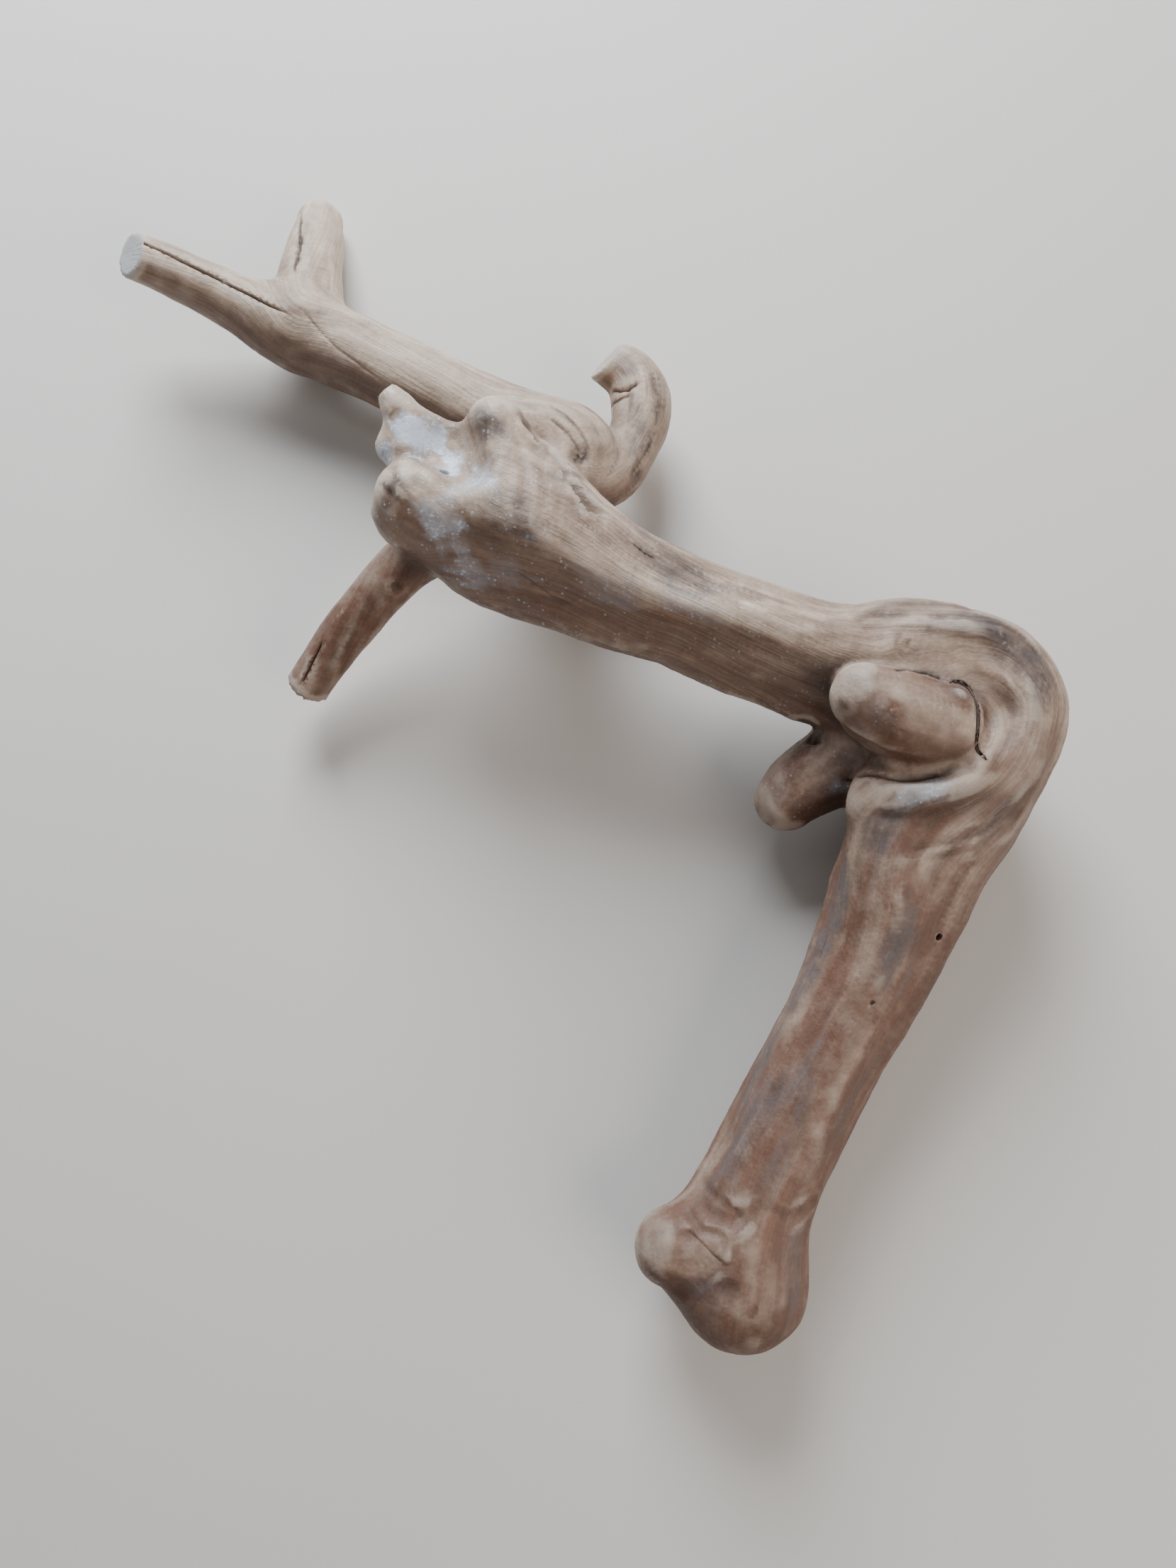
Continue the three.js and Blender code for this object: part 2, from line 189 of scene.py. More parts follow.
LIMBS = (
    Limb(
        "leg",
        20,
        (
            (205, -24, 54, 44),
            (195, -54, 53, 42),
            (181, -84, 51, 39),
            (166, -115, 49, 36),
            (145, -152, 46, 34),
            (124, -193, 43, 34),
            (106, -229, 40, 35),
            (95, -256, 39, 37),
            (91, -271, 38, 39),
            (90, -292, 37, 39),
        ),
        flutes=Flutes(5, 1.6, 0.9),
    ),
    Limb(
        "bulb lobe",
        14,
        (
            (73, -274, 42, 30),
            (63, -272, 45, 28),
            (50, -270, 48, 23),
        ),
    ),
    Limb(
        "elbow core",
        24,
        (
            (208, 48, 51, 50),
            (222, 30, 48, 50),
            (222, 0, 50, 46),
        ),
    ),
    Limb(
        "arm",
        24,
        (
            (186, 62, 66, 40),
            (151, 69, 70, 37),
            (120, 79, 74, 35),
            (86, 90, 78, 34),
            (51, 103, 82, 34),
            (17, 115, 88, 38),
            (-12, 130, 92, 42),
            (-42, 147, 94, 45),
        ),
        flat=Flat((-0.26, -0.74, 0.62), 0.81),
        flutes=Flutes(6, 1.2, 0.7),
    ),
    Limb(
        "head",
        18,
        (
            (-42, 148, 94, 44),
            (-62, 154, 95, 43),
            (-82, 162, 96, 38),
        ),
        flat=Flat((-0.26, -0.74, 0.62), 0.83),
    ),
    Limb(
        "wrapping strand",
        11,
        (
            (150, 77, 80, 24),
            (182, 83, 84, 23),
            (217, 81, 86, 23),
            (246, 67, 84, 23),
            (259, 40, 82, 23),
            (250, 10, 80, 23),
            (231, -17, 74, 24),
            (209, -44, 66, 26),
        ),
        flutes=Flutes(4, 1.8, 2.5),
    ),
    Limb(
        "shoulder of the leg",
        14,
        (
            (176, -70, 66, 26),
            (175, -35, 76, 22),
            (179, -4, 84, 20),
        ),
    ),
    Limb(
        "collar fold",
        12,
        (
            (168, -14, 82, 15),
            (187, -11, 92, 16),
            (214, -5, 92, 18),
            (238, 11, 86, 20),
        ),
    ),
    Limb(
        "second fold",
        8,
        (
            (182, -45, 84, 12),
            (212, -37, 84, 13),
            (240, -18, 78, 14),
        ),
    ),
    Limb(
        "pointed horn",
        10,
        (
            (-86, 184, 104, 24),
            (-103, 202, 110, 16),
            (-112, 215, 117, 10),
            (-118, 223, 120, 6.5),
        ),
    ),
    Limb(
        "bump below the pointed horn",
        8,
        (
            (-104, 190, 108, 15),
            (-114, 194, 110, 11),
        ),
    ),
    Limb(
        "upper horn",
        18,
        (
            (-40, 163, 98, 30),
            (-47, 180, 109, 25),
            (-51, 193, 117, 20),
            (-54, 201, 122, 17),
        ),
    ),
    Limb(
        "lower horn",
        12,
        (
            (-80, 157, 104, 26),
            (-96, 157, 114, 22),
            (-105, 159, 121, 18),
        ),
    ),
    Limb(
        "lobe of the lower horn",
        6,
        (
            (-110, 148, 108, 14),
            (-115, 152, 112, 11),
        ),
    ),
    Limb(
        "broken crest",
        6,
        (
            (-40, 192, 102, 13),
            (-28, 177, 102, 12),
            (-18, 157, 100, 12),
            (2, 139, 96, 13),
        ),
    ),
    Limb(
        "back branch",
        12,
        (
            (-322, 353, 78, 14),
            (-295, 344, 70, 14.5),
            (-261, 334, 57, 16),
            (-229, 322, 47, 19),
            (-202, 311, 41, 24),
            (-173, 300, 38, 25),
            (-136, 283, 38, 25),
            (-98, 263, 40, 25),
            (-60, 244, 44, 24),
            (-27, 231, 50, 23),
            (-9, 221, 52, 22),
            (-3, 207, 55, 19),
        ),
    ),
    Limb(
        "knuckle of the back branch",
        6,
        (
            (-44, 233, 58, 19),
            (-20, 226, 62, 20),
            (-2, 213, 60, 20),
            (1, 198, 54, 17),
        ),
    ),
    Limb(
        "hub behind the head",
        18,
        (
            (-16, 212, 54, 22),
            (-26, 180, 66, 26),
            (-45, 157, 80, 28),
        ),
    ),
    Limb(
        "fork stub",
        14,
        (
            (-188, 316, 36, 25),
            (-188, 356, 30, 21),
            (-187, 381, 22, 19),
            (-187, 403, 14, 16),
        ),
    ),
    Limb(
        "curl",
        7,
        (
            (-14, 190, 62, 21),
            (13, 201, 48, 18),
            (29, 227, 42, 17.5),
            (35, 254, 40, 20),
            (29, 273, 40, 18),
            (15, 283, 42, 15),
            (-2, 292, 44, 13),
        ),
    ),
    Limb(
        "lower stub",
        8,
        (
            (-82, 156, 78, 22),
            (-114, 138, 62, 17),
            (-135, 120, 52, 16),
            (-156, 97, 42, 15),
            (-177, 71, 32, 14),
            (-192, 48, 24, 14),
        ),
    ),
    Limb(
        "elbow stub",
        8,
        (
            (180, 31, 50, 31),
            (155, 15, 44, 26),
            (131, 1, 40, 22),
            (124, -6, 38, 20),
        ),
        flat=Flat((0.32, 0.1, 0.94), 0.68),
    ),
    Limb(
        "overgrown stub",
        4,
        (
            (203, 29, 91, 28),
            (188, 31, 97, 28),
            (170, 37, 105, 24.5),
            (157, 43, 110, 19),
        ),
    ),
)

HOLLOWS = (
    Limb(
        "saddle between the horns",
        10,
        (
            (-94, 203, 138, 12),
            (-84, 189, 131, 16),
            (-71, 171, 137, 13),
        ),
    ),
    Limb(
        "groove over the overgrown stub",
        4,
        (
            (154, 66, 114, 4),
            (180, 66, 118, 4),
            (204, 58, 116, 4),
        ),
    ),
    Limb(
        "groove under the overgrown stub",
        4,
        (
            (146, 20, 104, 5),
            (166, 6, 108, 5),
            (192, -1, 110, 5),
            (214, 3, 110, 4),
        ),
    ),
    Limb(
        "hole beside the elbow stub",
        4,
        (
            (131, 34, 66, 5),
            (142, 28, 56, 5),
        ),
    ),
)

TONES = {
    "leg": Tone(0.95, 0.34, 0.12, 0.3),
    "bulb lobe": Tone(1.0, 0.36, 0.15, 0.15),
    "elbow core": Tone(0.66, 0.35, 0.15, 0.5),
    "arm": Tone(0.32, 0.25, 0.45, 1.0),
    "head": Tone(0.42, 0.22, 0.6, 0.6),
    "wrapping strand": Tone(0.56, 0.44, 0.3, 0.9),
    "shoulder of the leg": Tone(0.88, 0.38, 0.15, 0.3),
    "collar fold": Tone(0.55, 0.5, 0.35, 0.7),
    "second fold": Tone(0.72, 0.35, 0.25, 0.6),
    "pointed horn": Tone(0.25, 0.35, 0.7, 0.1),
    "bump below the pointed horn": Tone(0.2, 0.3, 0.8, 0.05),
    "upper horn": Tone(0.28, 0.3, 0.5, 0.5),
    "lower horn": Tone(0.3, 0.35, 0.6, 0.2),
    "lobe of the lower horn": Tone(0.35, 0.4, 0.5, 0.15),
    "broken crest": Tone(0.3, 0.3, 0.3, 0.7),
    "back branch": Tone(0.22, 0.15, 0.15, 0.75),
    "knuckle of the back branch": Tone(0.3, 0.2, 0.2, 0.9),
    "hub behind the head": Tone(0.5, 0.35, 0.1, 0.5),
    "fork stub": Tone(0.16, 0.12, 0.15, 0.5),
    "curl": Tone(0.2, 0.5, 0.15, 0.7),
    "lower stub": Tone(1.0, 0.3, 0.15, 0.6),
    "elbow stub": Tone(0.9, 0.2, 0.45, 0.15),
    "overgrown stub": Tone(0.74, 0.2, 0.4, 0.06),
}

# Stubs and horns that the fibres of the wood about them flow round.
FLOWED_ROUND = (
    "overgrown stub",
    "upper horn",
    "lower horn",
    "pointed horn",
    "fork stub",
)

# Limbs whose stations run against the fibres of the limbs beside them.
GROWN_BACK = (
    "arm",
    "head",
    "shoulder of the leg",
    "collar fold",
    "second fold",
    "pointed horn",
    "bump below the pointed horn",
    "upper horn",
    "lower horn",
    "lobe of the lower horn",
    "fork stub",
    "curl",
    "lower stub",
    "elbow stub",
    "overgrown stub",
)

SAWN_ENDS = (
    SawnEnd((-295, 344, 70), (-0.67, 0.02, 0.74), 1.0),
    SawnEnd((11, 285, 42), (-0.72, 0.55, 0.42), 0.5),
    SawnEnd((-180, 66, 31), (-0.55, -0.62, -0.56), 0.0),
)
SAW_REACH = 30.0

CRACK_LINE = (
    (207, 51),
    (214, 52),
    (220, 48),
    (222, 38),
    (221, 26),
    (221, 14),
    (226, 6),
)
CRACK_WIDTH = 3.2
CRACK_FLOOR = 82.0
CRACK_DEPTH = 60.0
CRACK_ROW = 1.5

# Checks are thin dry splits; creases are soft folds of the growing wood. Both are lined with
# painted shade.
CHECKS = (
    Furrow(
        (
            (-292, 345),
            (-282, 345),
            (-270, 341),
            (-253, 334),
            (-235, 327),
            (-217, 318),
            (-205, 311),
            (-191, 304),
        ),
        0.7,
        2.4,
        1.0,
    ),
    Furrow(
        ((-197, 402), (-195, 390), (-193, 375), (-191, 360), (-193, 345), (-192, 338)),
        0.7,
        2.4,
        1.0,
    ),
    Furrow(((-42, 114), (-32, 108), (-22, 102), (-8, 97)), 0.6, 0.7, 0.4),
    Furrow(((26, 129), (33, 124), (40, 121)), 0.7, 0.7, 0.5),
    Furrow(((-180, 66), (-173, 79), (-166, 91)), 0.7, 1.8, 0.9),
    Furrow(((-185, 309), (-173, 295), (-162, 284), (-134, 264)), 0.9, 0.6, 0.15),
    Furrow(((172, 55), (182, 58), (194, 57), (206, 52)), 0.9, 2.0, 0.9),
    Furrow(((154, 2), (170, -3), (188, -3), (206, 0)), 0.9, 1.8, 0.7),
    Furrow(((58, -258), (64, -263), (70, -269), (77, -274)), 0.7, 0.7, 0.3),
    Furrow(((15, 262), (20, 258), (26, 257), (33, 261)), 1.0, 1.8, 0.7),
    Furrow(((12, 254), (19, 252), (27, 253)), 0.9, 1.2, 0.5),
    Furrow(((-26, 236), (-15, 228), (-4, 216), (2, 203)), 0.8, 0.7, 0.45),
    Furrow(((-24, 225), (-13, 215), (-5, 204), (-2, 195)), 0.8, 0.8, 0.5),
    Furrow(((-20, 231), (-9, 221), (0, 208)), 0.7, 0.5, 0.35),
)
CREASES = (
    Furrow(((163, -5), (182, -4), (200, -2), (213, 4)), 3.0, 2.0, 0.3),
    Furrow(
        ((160, -24), (172, -26), (187, -25), (206, -22), (226, -15), (240, -6)),
        3.4,
        2.4,
        0.25,
    ),
    Furrow(
        ((178, -46), (190, -43), (207, -40), (227, -33), (248, -19), (262, -2)),
        2.8,
        2.6,
        0.3,
    ),
    Furrow(((190, -50), (206, -47), (221, -43), (241, -30), (254, -16)), 2.4, 2.0, 0.3),
    Furrow(((196, 92), (222, 92), (246, 82), (262, 66)), 3.0, 1.6, 0.2),
    Furrow(((172, 84), (198, 80), (226, 76), (246, 58), (252, 30)), 3.0, 1.4, 0.2),
    Furrow(((154, 88), (166, 94), (176, 92), (190, 94)), 2.4, 1.8, 0.35),
    Furrow(((236, 60), (244, 40), (240, 18), (228, -2)), 2.6, 1.2, 0.15),
    Furrow(
        ((-40, 206), (-32, 197), (-22, 186), (-13, 174), (-6, 162), (2, 150), (14, 141)),
        2.4,
        3.0,
        0.6,
    ),
    Furrow(((-36, 198), (-26, 174), (-24, 150), (-27, 134)), 3.0, 1.1, 0.1),
    Furrow(((-41, 191), (-35, 167), (-36, 145), (-37, 130), (-28, 117)), 2.6, 0.9, 0.1),
    Furrow(((-20, 170), (-16, 147), (-18, 131), (-8, 118)), 2.6, 1.0, 0.1),
    Furrow(((-114, 182), (-102, 184), (-90, 182)), 2.6, 1.6, 0.15),
    Furrow(((-111, 173), (-110, 158), (-115, 146)), 2.4, 1.6, 0.35),
    Furrow(((20, 230), (26, 246), (24, 262)), 2.0, 1.0, 0.15),
    Furrow(((62, -246), (76, -250), (96, -246), (116, -250)), 4.0, 1.6, 0.15),
    Furrow(((56, -246), (64, -257), (77, -259)), 2.4, 1.6, 0.2),
    Furrow(((65, -232), (73, -240), (88, -249)), 2.2, 1.2, 0.2),
    Furrow(((112, -252), (122, -246), (131, -239)), 2.4, 1.4, 0.2),
)
LEDGES = (
    Ledge(
        ((-40, 200), (-31, 192), (-23, 181), (-16, 170), (-9, 158), (0, 147), (12, 139)),
        5.0,
        8.0,
    ),
)
SCARS = (Scar((184, 74, 109), 7.0, 0.8, 0.25),)
# Pits and worm holes are lined with painted shade; bumps take none.
SPOTS = (
    Spot((-83, 173, 122), 2.6, 6.0, 1.0),
    Spot((202, -93, 83), 2.0, 5.0, 1.0),
    Spot((162, -130, 84), 1.6, 2.0, 0.2),
    Spot((184, 74, 109), 3.0, 1.6, 0.5),
    Spot((170, 29, 128), 2.6, -0.8, 0.0),
    Spot((172, 18, 121), 2.8, -0.7, 0.0),
    Spot((210, 43, 114), 5.0, -1.1, 0.0),
    Spot((230, 44, 100), 9.0, -1.8, 0.0),
    Spot((230, 30, 100), 6.0, 1.6, 0.15),
    Spot((-117, 121, 70), 3.4, 1.4, 0.8),
    Spot((57, -260, 70), 4.0, 1.2, 0.2),
    Spot((76, -269, 77), 4.5, -1.4, 0.0),
    Spot((84, -251, 75), 5.0, 1.6, 0.2),
    Spot((77, -287, 76), 6.0, 1.4, 0.2),
    Spot((54, -290, 66), 7.0, 1.6, 0.2),
    Spot((-6, 200, 82), 7.0, 1.8, 0.4),
)
PATCHES = (
    # Painted sheen: blue-white patches that paint the reflection of a cool light on the head, the
    # arm and about the elbow.
    Patch(Stain.FROST, (-95, 196, 121), 19, 1.2, 1.0),
    Patch(Stain.FROST, (-79, 180, 121), 14, 1.2, 0.9),
    Patch(Stain.FROST, (-62, 160, 132), 17, 1.5, 0.65),
    Patch(Stain.FROST, (-116, 187, 116), 11, 1.2, 0.8),
    Patch(Stain.FROST, (-84, 142, 130), 17, 1.4, 0.62),
    Patch(Stain.FROST, (-76, 131, 122), 16, 1.4, 0.5),
    Patch(Stain.FROST, (-70, 121, 112), 17, 1.6, 0.46),
    Patch(Stain.FROST, (-46, 116, 116), 15, 2.0, 0.36),
    Patch(Stain.FROST, (-26, 130, 128), 12, 1.8, 0.4),
    Patch(Stain.FROST, (14, 104, 120), 14, 2.6, 0.35),
    Patch(Stain.FROST, (58, 96, 116), 14, 2.6, 0.35),
    Patch(Stain.FROST, (112, 92, 112), 12, 2.0, 0.15),
    Patch(Stain.FROST, (116, -8, 54), 8, 2.0, 0.3),
    Patch(Stain.FROST, (150, -2, 62), 7, 1.5, 0.45),
    Patch(Stain.FROST, (188, -12, 108), 11, 2.4, 0.5),
    Patch(Stain.ASH, (-56, 198, 138), 13, 1.2, 0.9),
    Patch(Stain.SOOT, (-57, 195, 138), 9, 1.4, 0.5),
    Patch(Stain.SOOT, (-112, 206, 125), 7, 1.2, 0.6),
    Patch(Stain.ASH, (-110, 158, 137), 10, 1.4, 0.7),
    Patch(Stain.SOOT, (-109, 155, 137), 9, 1.8, 0.6),
    # Rot and painted shade: the patch at the knuckle is partly rot and partly painted shade of the
    # valley behind the broken crest; the two at the crest's edge are painted shade of the gap
    # behind it.
    Patch(Stain.SOOT, (-5, 203, 82), 9, 1.5, 0.7),
    Patch(Stain.SOOT, (0, 163, 121), 5, 2.5, 0.8),
    Patch(Stain.SOOT, (-6, 172, 120), 4, 2.0, 0.6),
    Patch(Stain.ASH, (-43, 141, 142), 14, 1.6, 0.75),
    Patch(Stain.ASH, (-96, 156, 137), 9, 1.4, 0.4),
    Patch(Stain.RUST, (111, 90, 110), 14, 2.0, 0.35),
    Patch(Stain.RUST, (-158, 97, 58), 14, 2.0, 0.5),
    Patch(Stain.SOOT, (-158, 97, 58), 16, 2.0, 0.25),
    Patch(Stain.RUST, (38, -270, 64), 14, 1.2, 0.35),
    Patch(Stain.ASH, (152, 50, 127), 8, 1.3, 0.5),
    Patch(Stain.SOOT, (143, 37, 121), 4, 1.6, 0.4),
    Patch(Stain.SOOT, (159, 40, 127), 3, 1.6, 0.3),
    Patch(Stain.SOOT, (31, 126, 121), 7, 3.0, 0.6),
    Patch(Stain.SOOT, (60, 117, 111), 7, 3.4, 0.65),
    Patch(Stain.ASH, (60, 112, 114), 12, 3.4, 0.7),
    Patch(Stain.SOOT, (90, 107, 107), 7, 3.0, 0.55),
    Patch(Stain.ASH, (225, 86, 109), 13, 2.6, 0.95),
    Patch(Stain.ASH, (256, 61, 104), 13, 2.6, 0.95),
    Patch(Stain.SOOT, (240, 77, 107), 7, 3.0, 0.7),
    Patch(Stain.SOOT, (265, 48, 102), 7, 3.0, 0.65),
    Patch(Stain.SOOT, (176, 95, 100), 6, 3.0, 0.5),
    Patch(Stain.ASH, (168, -30, 96), 12, 1.6, 0.6),
    Patch(Stain.ASH, (148, -69, 72), 9, 4.0, 0.9),
    Patch(Stain.ASH, (130, -112, 63), 9, 4.0, 0.9),
    Patch(Stain.ASH, (102, -168, 55), 9, 5.0, 0.9),
    Patch(Stain.ASH, (177, -97, 89), 11, 3.0, 0.9),
    Patch(Stain.SOOT, (176, -99, 89), 7, 3.0, 0.35),
    Patch(Stain.ASH, (108, -182, 73), 7, 3.0, 0.7),
    Patch(Stain.RUST, (143, -114, 75), 9, 3.0, 0.4),
    Patch(Stain.RUST, (132, -150, 78), 8, 3.0, 0.3),
    Patch(Stain.RUST, (96, -216, 72), 8, 3.0, 0.35),
    Patch(Stain.PALE, (150, -98, 78), 7, 3.4, 0.35),
    Patch(Stain.PALE, (120, -138, 68), 7, 3.4, 0.3),
    Patch(Stain.PALE, (114, -172, 74), 7, 3.0, 0.3),
    Patch(Stain.PALE, (67, -262, 74), 10, 1.4, 0.3),
    Patch(Stain.PALE, (92, -270, 78), 9, 1.4, 0.4),
    Patch(Stain.PALE, (198, -43, 99), 6, 4.0, 0.6),
    Patch(Stain.PALE, (224, -34, 97), 6, 4.0, 0.6),
    Patch(Stain.SOOT, (139, -133, 77), 5, 3.0, 0.35),
    Patch(Stain.SOOT, (108, -178, 71), 6, 2.5, 0.4),
    Patch(Stain.SOOT, (172, -58, 96), 4, 1.4, 0.5),
    Patch(Stain.SOOT, (181, -68, 96), 4, 1.2, 0.35),
    Patch(Stain.SOOT, (161, -64, 90), 3, 1.4, 0.4),
    Patch(Stain.SOOT, (138, -95, 66), 5, 5.0, 0.3),
    Patch(Stain.SOOT, (98, -174, 54), 5, 5.0, 0.3),
    Patch(Stain.SOOT, (51, -295, 58), 9, 1.4, 0.45),
    Patch(Stain.SOOT, (79, -289, 76), 5, 1.4, 0.35),
    Patch(Stain.SOOT, (91, -298, 75), 4, 1.4, 0.35),
    Patch(Stain.ASH, (68, -288, 72), 14, 1.3, 0.5),
    Patch(Stain.SOOT, (45, 262, 58), 9, 2.0, 0.9),
    Patch(Stain.SOOT, (47, 243, 57), 8, 2.5, 0.9),
    Patch(Stain.SOOT, (41, 221, 55), 8, 2.5, 0.9),
    Patch(Stain.SOOT, (30, 203, 58), 8, 1.6, 0.8),
    Patch(Stain.ASH, (34, 225, 58), 9, 2.0, 0.7),
    Patch(Stain.ASH, (30, 243, 59), 8, 2.0, 0.6),
    Patch(Stain.ASH, (22, 272, 58), 10, 1.4, 0.7),
)


def fillet(a: np.ndarray, b: np.ndarray, radius: float) -> np.ndarray:
    """Take the lower of two distances, with a fillet of a radius where they are alike."""
    near = np.maximum(radius - np.abs(a - b), 0.0) / radius
    return np.minimum(a, b) - near * near * radius / 4.0


def unit(rows: np.ndarray) -> np.ndarray:
    """Scale each row to length one."""
    return rows / np.maximum(np.linalg.norm(rows, axis=-1, keepdims=True), TINY)


def ease(values: np.ndarray, low: float, high: float) -> np.ndarray:
    """Rise smoothly from 0 at the low value to 1 at the high value."""
    share = np.clip((values - low) / (high - low), 0.0, 1.0)
    return share * share * (3.0 - 2.0 * share)


def limb_curve(stations: tuple[Station, ...]) -> tuple[np.ndarray, np.ndarray]:
    """Run a smooth curve through a limb's stations.

    Args:
        stations: Places and radii from root to tip.

    Returns:
        Points along the axis, and the radius at each.
    """
    rows = np.array(stations, float)
    places, radii = rows[:, :3], rows[:, 3]
    ends = np.vstack([2 * places[0] - places[1], places, 2 * places[-1] - places[-2]])
    girths = np.concatenate([radii[:1], radii, radii[-1:]])
    points, widths = [], []
    for i in range(len(rows) - 1):
        p0, p1, p2, p3 = ends[i : i + 4]
        pairs = ((p0, p1), (p1, p2), (p2, p3))
        d0, d1, d2 = (max(np.linalg.norm(b - a), LEAST_KNOT) ** 0.5 for a, b in pairs)
        t1 = ((p1 - p0) / d0 - (p2 - p0) / (d0 + d1) + (p2 - p1) / d1) * d1
        t2 = ((p2 - p1) / d1 - (p3 - p1) / (d1 + d2) + (p3 - p2) / d2) * d1
        r0, r1, r2, r3 = girths[i : i + 4]
        last = i == len(rows) - 2
        for t in np.arange(STATION_STEPS + (1 if last else 0)) / STATION_STEPS:
            h = (2 * t**3 - 3 * t**2 + 1, t**3 - 2 * t**2 + t, 3 * t**2 - 2 * t**3, t**3 - t**2)
            points.append(h[0] * p1 + h[1] * t1 + h[2] * p2 + h[3] * t2)
            widths.append(h[0] * r1 + h[1] * (r2 - r0) / 2 + h[2] * r2 + h[3] * (r3 - r1) / 2)
    return np.array(points), np.array(widths)


@dataclass
class Reading:
    """What a limb says of some points: how far they are, and where along and round it."""

    distance: np.ndarray
    reached: np.ndarray
    turned: np.ndarray
    ahead: np.ndarray
    radius: np.ndarray


class LimbShape:
    """A limb made ready to be measured."""

    def __init__(self, limb: Limb) -> None:
        """Lay out the limb's round pieces.

        Args:
            limb: The limb's stations and habits.
        """
        self.limb = limb
        self.points, self.radii = limb_curve(limb.stations)
        self.start = self.points[:-1]
        self.along = np.diff(self.points, axis=0)
        self.span = np.linalg.norm(self.along, axis=1)
        self.reached = np.concatenate([[0.0], np.cumsum(self.span)[:-1]])
        self.length = float(self.span.sum())
        self.ahead = unit(self.along)
        up = np.array([0.0, 0.0, 1.0])
        self.top = unit(up - self.ahead * self.ahead[:, 2:])
        self.side = np.cross(self.ahead, self.top)
        spread = self.radii[:, None] + (limb.flutes.depth if limb.flutes else 0.0)
        self.low = (self.points - spread).min(0)
        self.high = (self.points + spread).max(0)

    def near(self, points: np.ndarray, margin: float) -> np.ndarray:
        """Find which points lie within a margin of the limb's box."""
        gap = np.maximum(self.low - points, 0.0) + np.maximum(points - self.high, 0.0)
        return np.flatnonzero((gap * gap).sum(1) < margin * margin)

    def read(self, points: np.ndarray) -> Reading:
        """Measure points against the limb.

        Args:
            points: Points to measure.

        Returns:
            Their distances and places along and round the limb.
        """
        starts = range(0, max(len(points), 1), READ_BATCH)
        rows = [self._read_some(points[i : i + READ_BATCH]) for i in starts]
        return Reading(*(np.concatenate(column) for column in zip(*rows)))

    def _read_some(self, points: np.ndarray) -> tuple[np.ndarray, ...]:
        """Measure a batch of points.

        Args:
            points: The batch.

        Returns:
            Distance, length reached, angle turned, axis direction and radius.
        """
        offset = points[:, None, :] - self.start
        share = np.clip(np.einsum("nmk,mk->nm", offset, self.along) / self.span**2, 0.0, 1.0)
        offset -= share[..., None] * self.along
        radius = self.radii[:-1] + share * np.diff(self.radii)
        reach = np.linalg.norm(offset, axis=2)
        distance = reach - radius
        if self.limb.flat:
            facing = unit(np.array(self.limb.flat.facing))
            flat = offset @ facing - radius * self.limb.flat.at
            distance = -fillet(-distance, -flat, RIDGE_ROUNDING)
        turned = np.arctan2(
            np.einsum("nmk,mk->nm", offset, self.side),
            np.einsum("nmk,mk->nm", offset, self.top),
        )
        reached = self.reached + share * self.span
        flutes = self.limb.flutes
        if flutes:
            phase = flutes.count * (turned + 2 * np.pi * flutes.turns * reached / METRE)
            fade = np.minimum(np.minimum(reached, self.length - reached), radius) / radius
            wave = flutes.depth * np.cos(phase) * fade
            distance = distance + wave * np.minimum(reach / radius, 1.0)
        best = distance.argmin(1)
        row = np.arange(len(points))
        return (
            distance[row, best],
            reached[row, best],
            turned[row, best],
            self.ahead[best],
            radius[row, best],
        )


class Skeleton:
    """All limbs and hollows of the root, as one solid that can be measured."""

    MARGIN = 30.0
    PROBE = 0.3
    LEAST_SLOPE = 0.3
    LONGEST_MOVE = 3.0

    def __init__(self) -> None:
        """Make every limb and hollow ready."""
        self.limbs = [LimbShape(limb) for limb in LIMBS]
        self.hollows = [LimbShape(limb) for limb in HOLLOWS]

    def distance(self, points: np.ndarray) -> np.ndarray:
        """Measure how far points are from the wood's surface.

        Args:
            points: Points in the layout frame.

        Returns:
            Distances, negative in the wood.
        """
        total = np.full(len(points), FAR)
        for shape in self.limbs:
            at = shape.near(points, self.MARGIN)
            found = shape.read(points[at]).distance
            joined = fillet(total[at], found, shape.limb.fillet)
            total[at] = np.where(total[at] >= FAR, found, joined)
        for shape in self.hollows:
            at = shape.near(points, self.MARGIN)
            total[at] = -fillet(-total[at], shape.read(points[at]).distance, shape.limb.fillet)
        for end in SAWN_ENDS:
            facing = unit(np.array(end.facing))
            offset = points - np.array(end.at, float)
            height = offset @ facing
            aside = np.linalg.norm(offset - height[:, None] * facing, axis=1)
            total = np.where(aside < SAW_REACH, np.maximum(total, height), total)
        return np.maximum(total, -points[:, 2])

    def slope(self, points: np.ndarray, here: np.ndarray) -> np.ndarray:
        """Measure which way the distance grows from what it is here."""
        moved = [self.distance(points + self.PROBE * axis) - here for axis in np.eye(3)]
        return np.stack(moved, axis=1) / self.PROBE

    def settle(self, points: np.ndarray, rounds: int) -> np.ndarray:
        """Move points onto the wood's surface.

        Args:
            points: Points near the surface.
            rounds: How often to correct them.

        Returns:
            The moved points.
        """
        points = points.copy()
        for _ in range(rounds):
            here = self.distance(points)
            slope = self.slope(points, here)
            move = here / np.maximum((slope * slope).sum(1), self.LEAST_SLOPE)
            points -= np.clip(move, -self.LONGEST_MOVE, self.LONGEST_MOVE)[:, None] * slope
        return points


def to_layout(rows: np.ndarray) -> np.ndarray:
    """Turn metres of the part's frame into the layout's millimetres."""
    return rows / MM + LAYOUT_MIDDLE


def to_part(rows: np.ndarray) -> np.ndarray:
    """Turn the layout's millimetres into metres of the part's frame."""
    return (rows - LAYOUT_MIDDLE) * MM


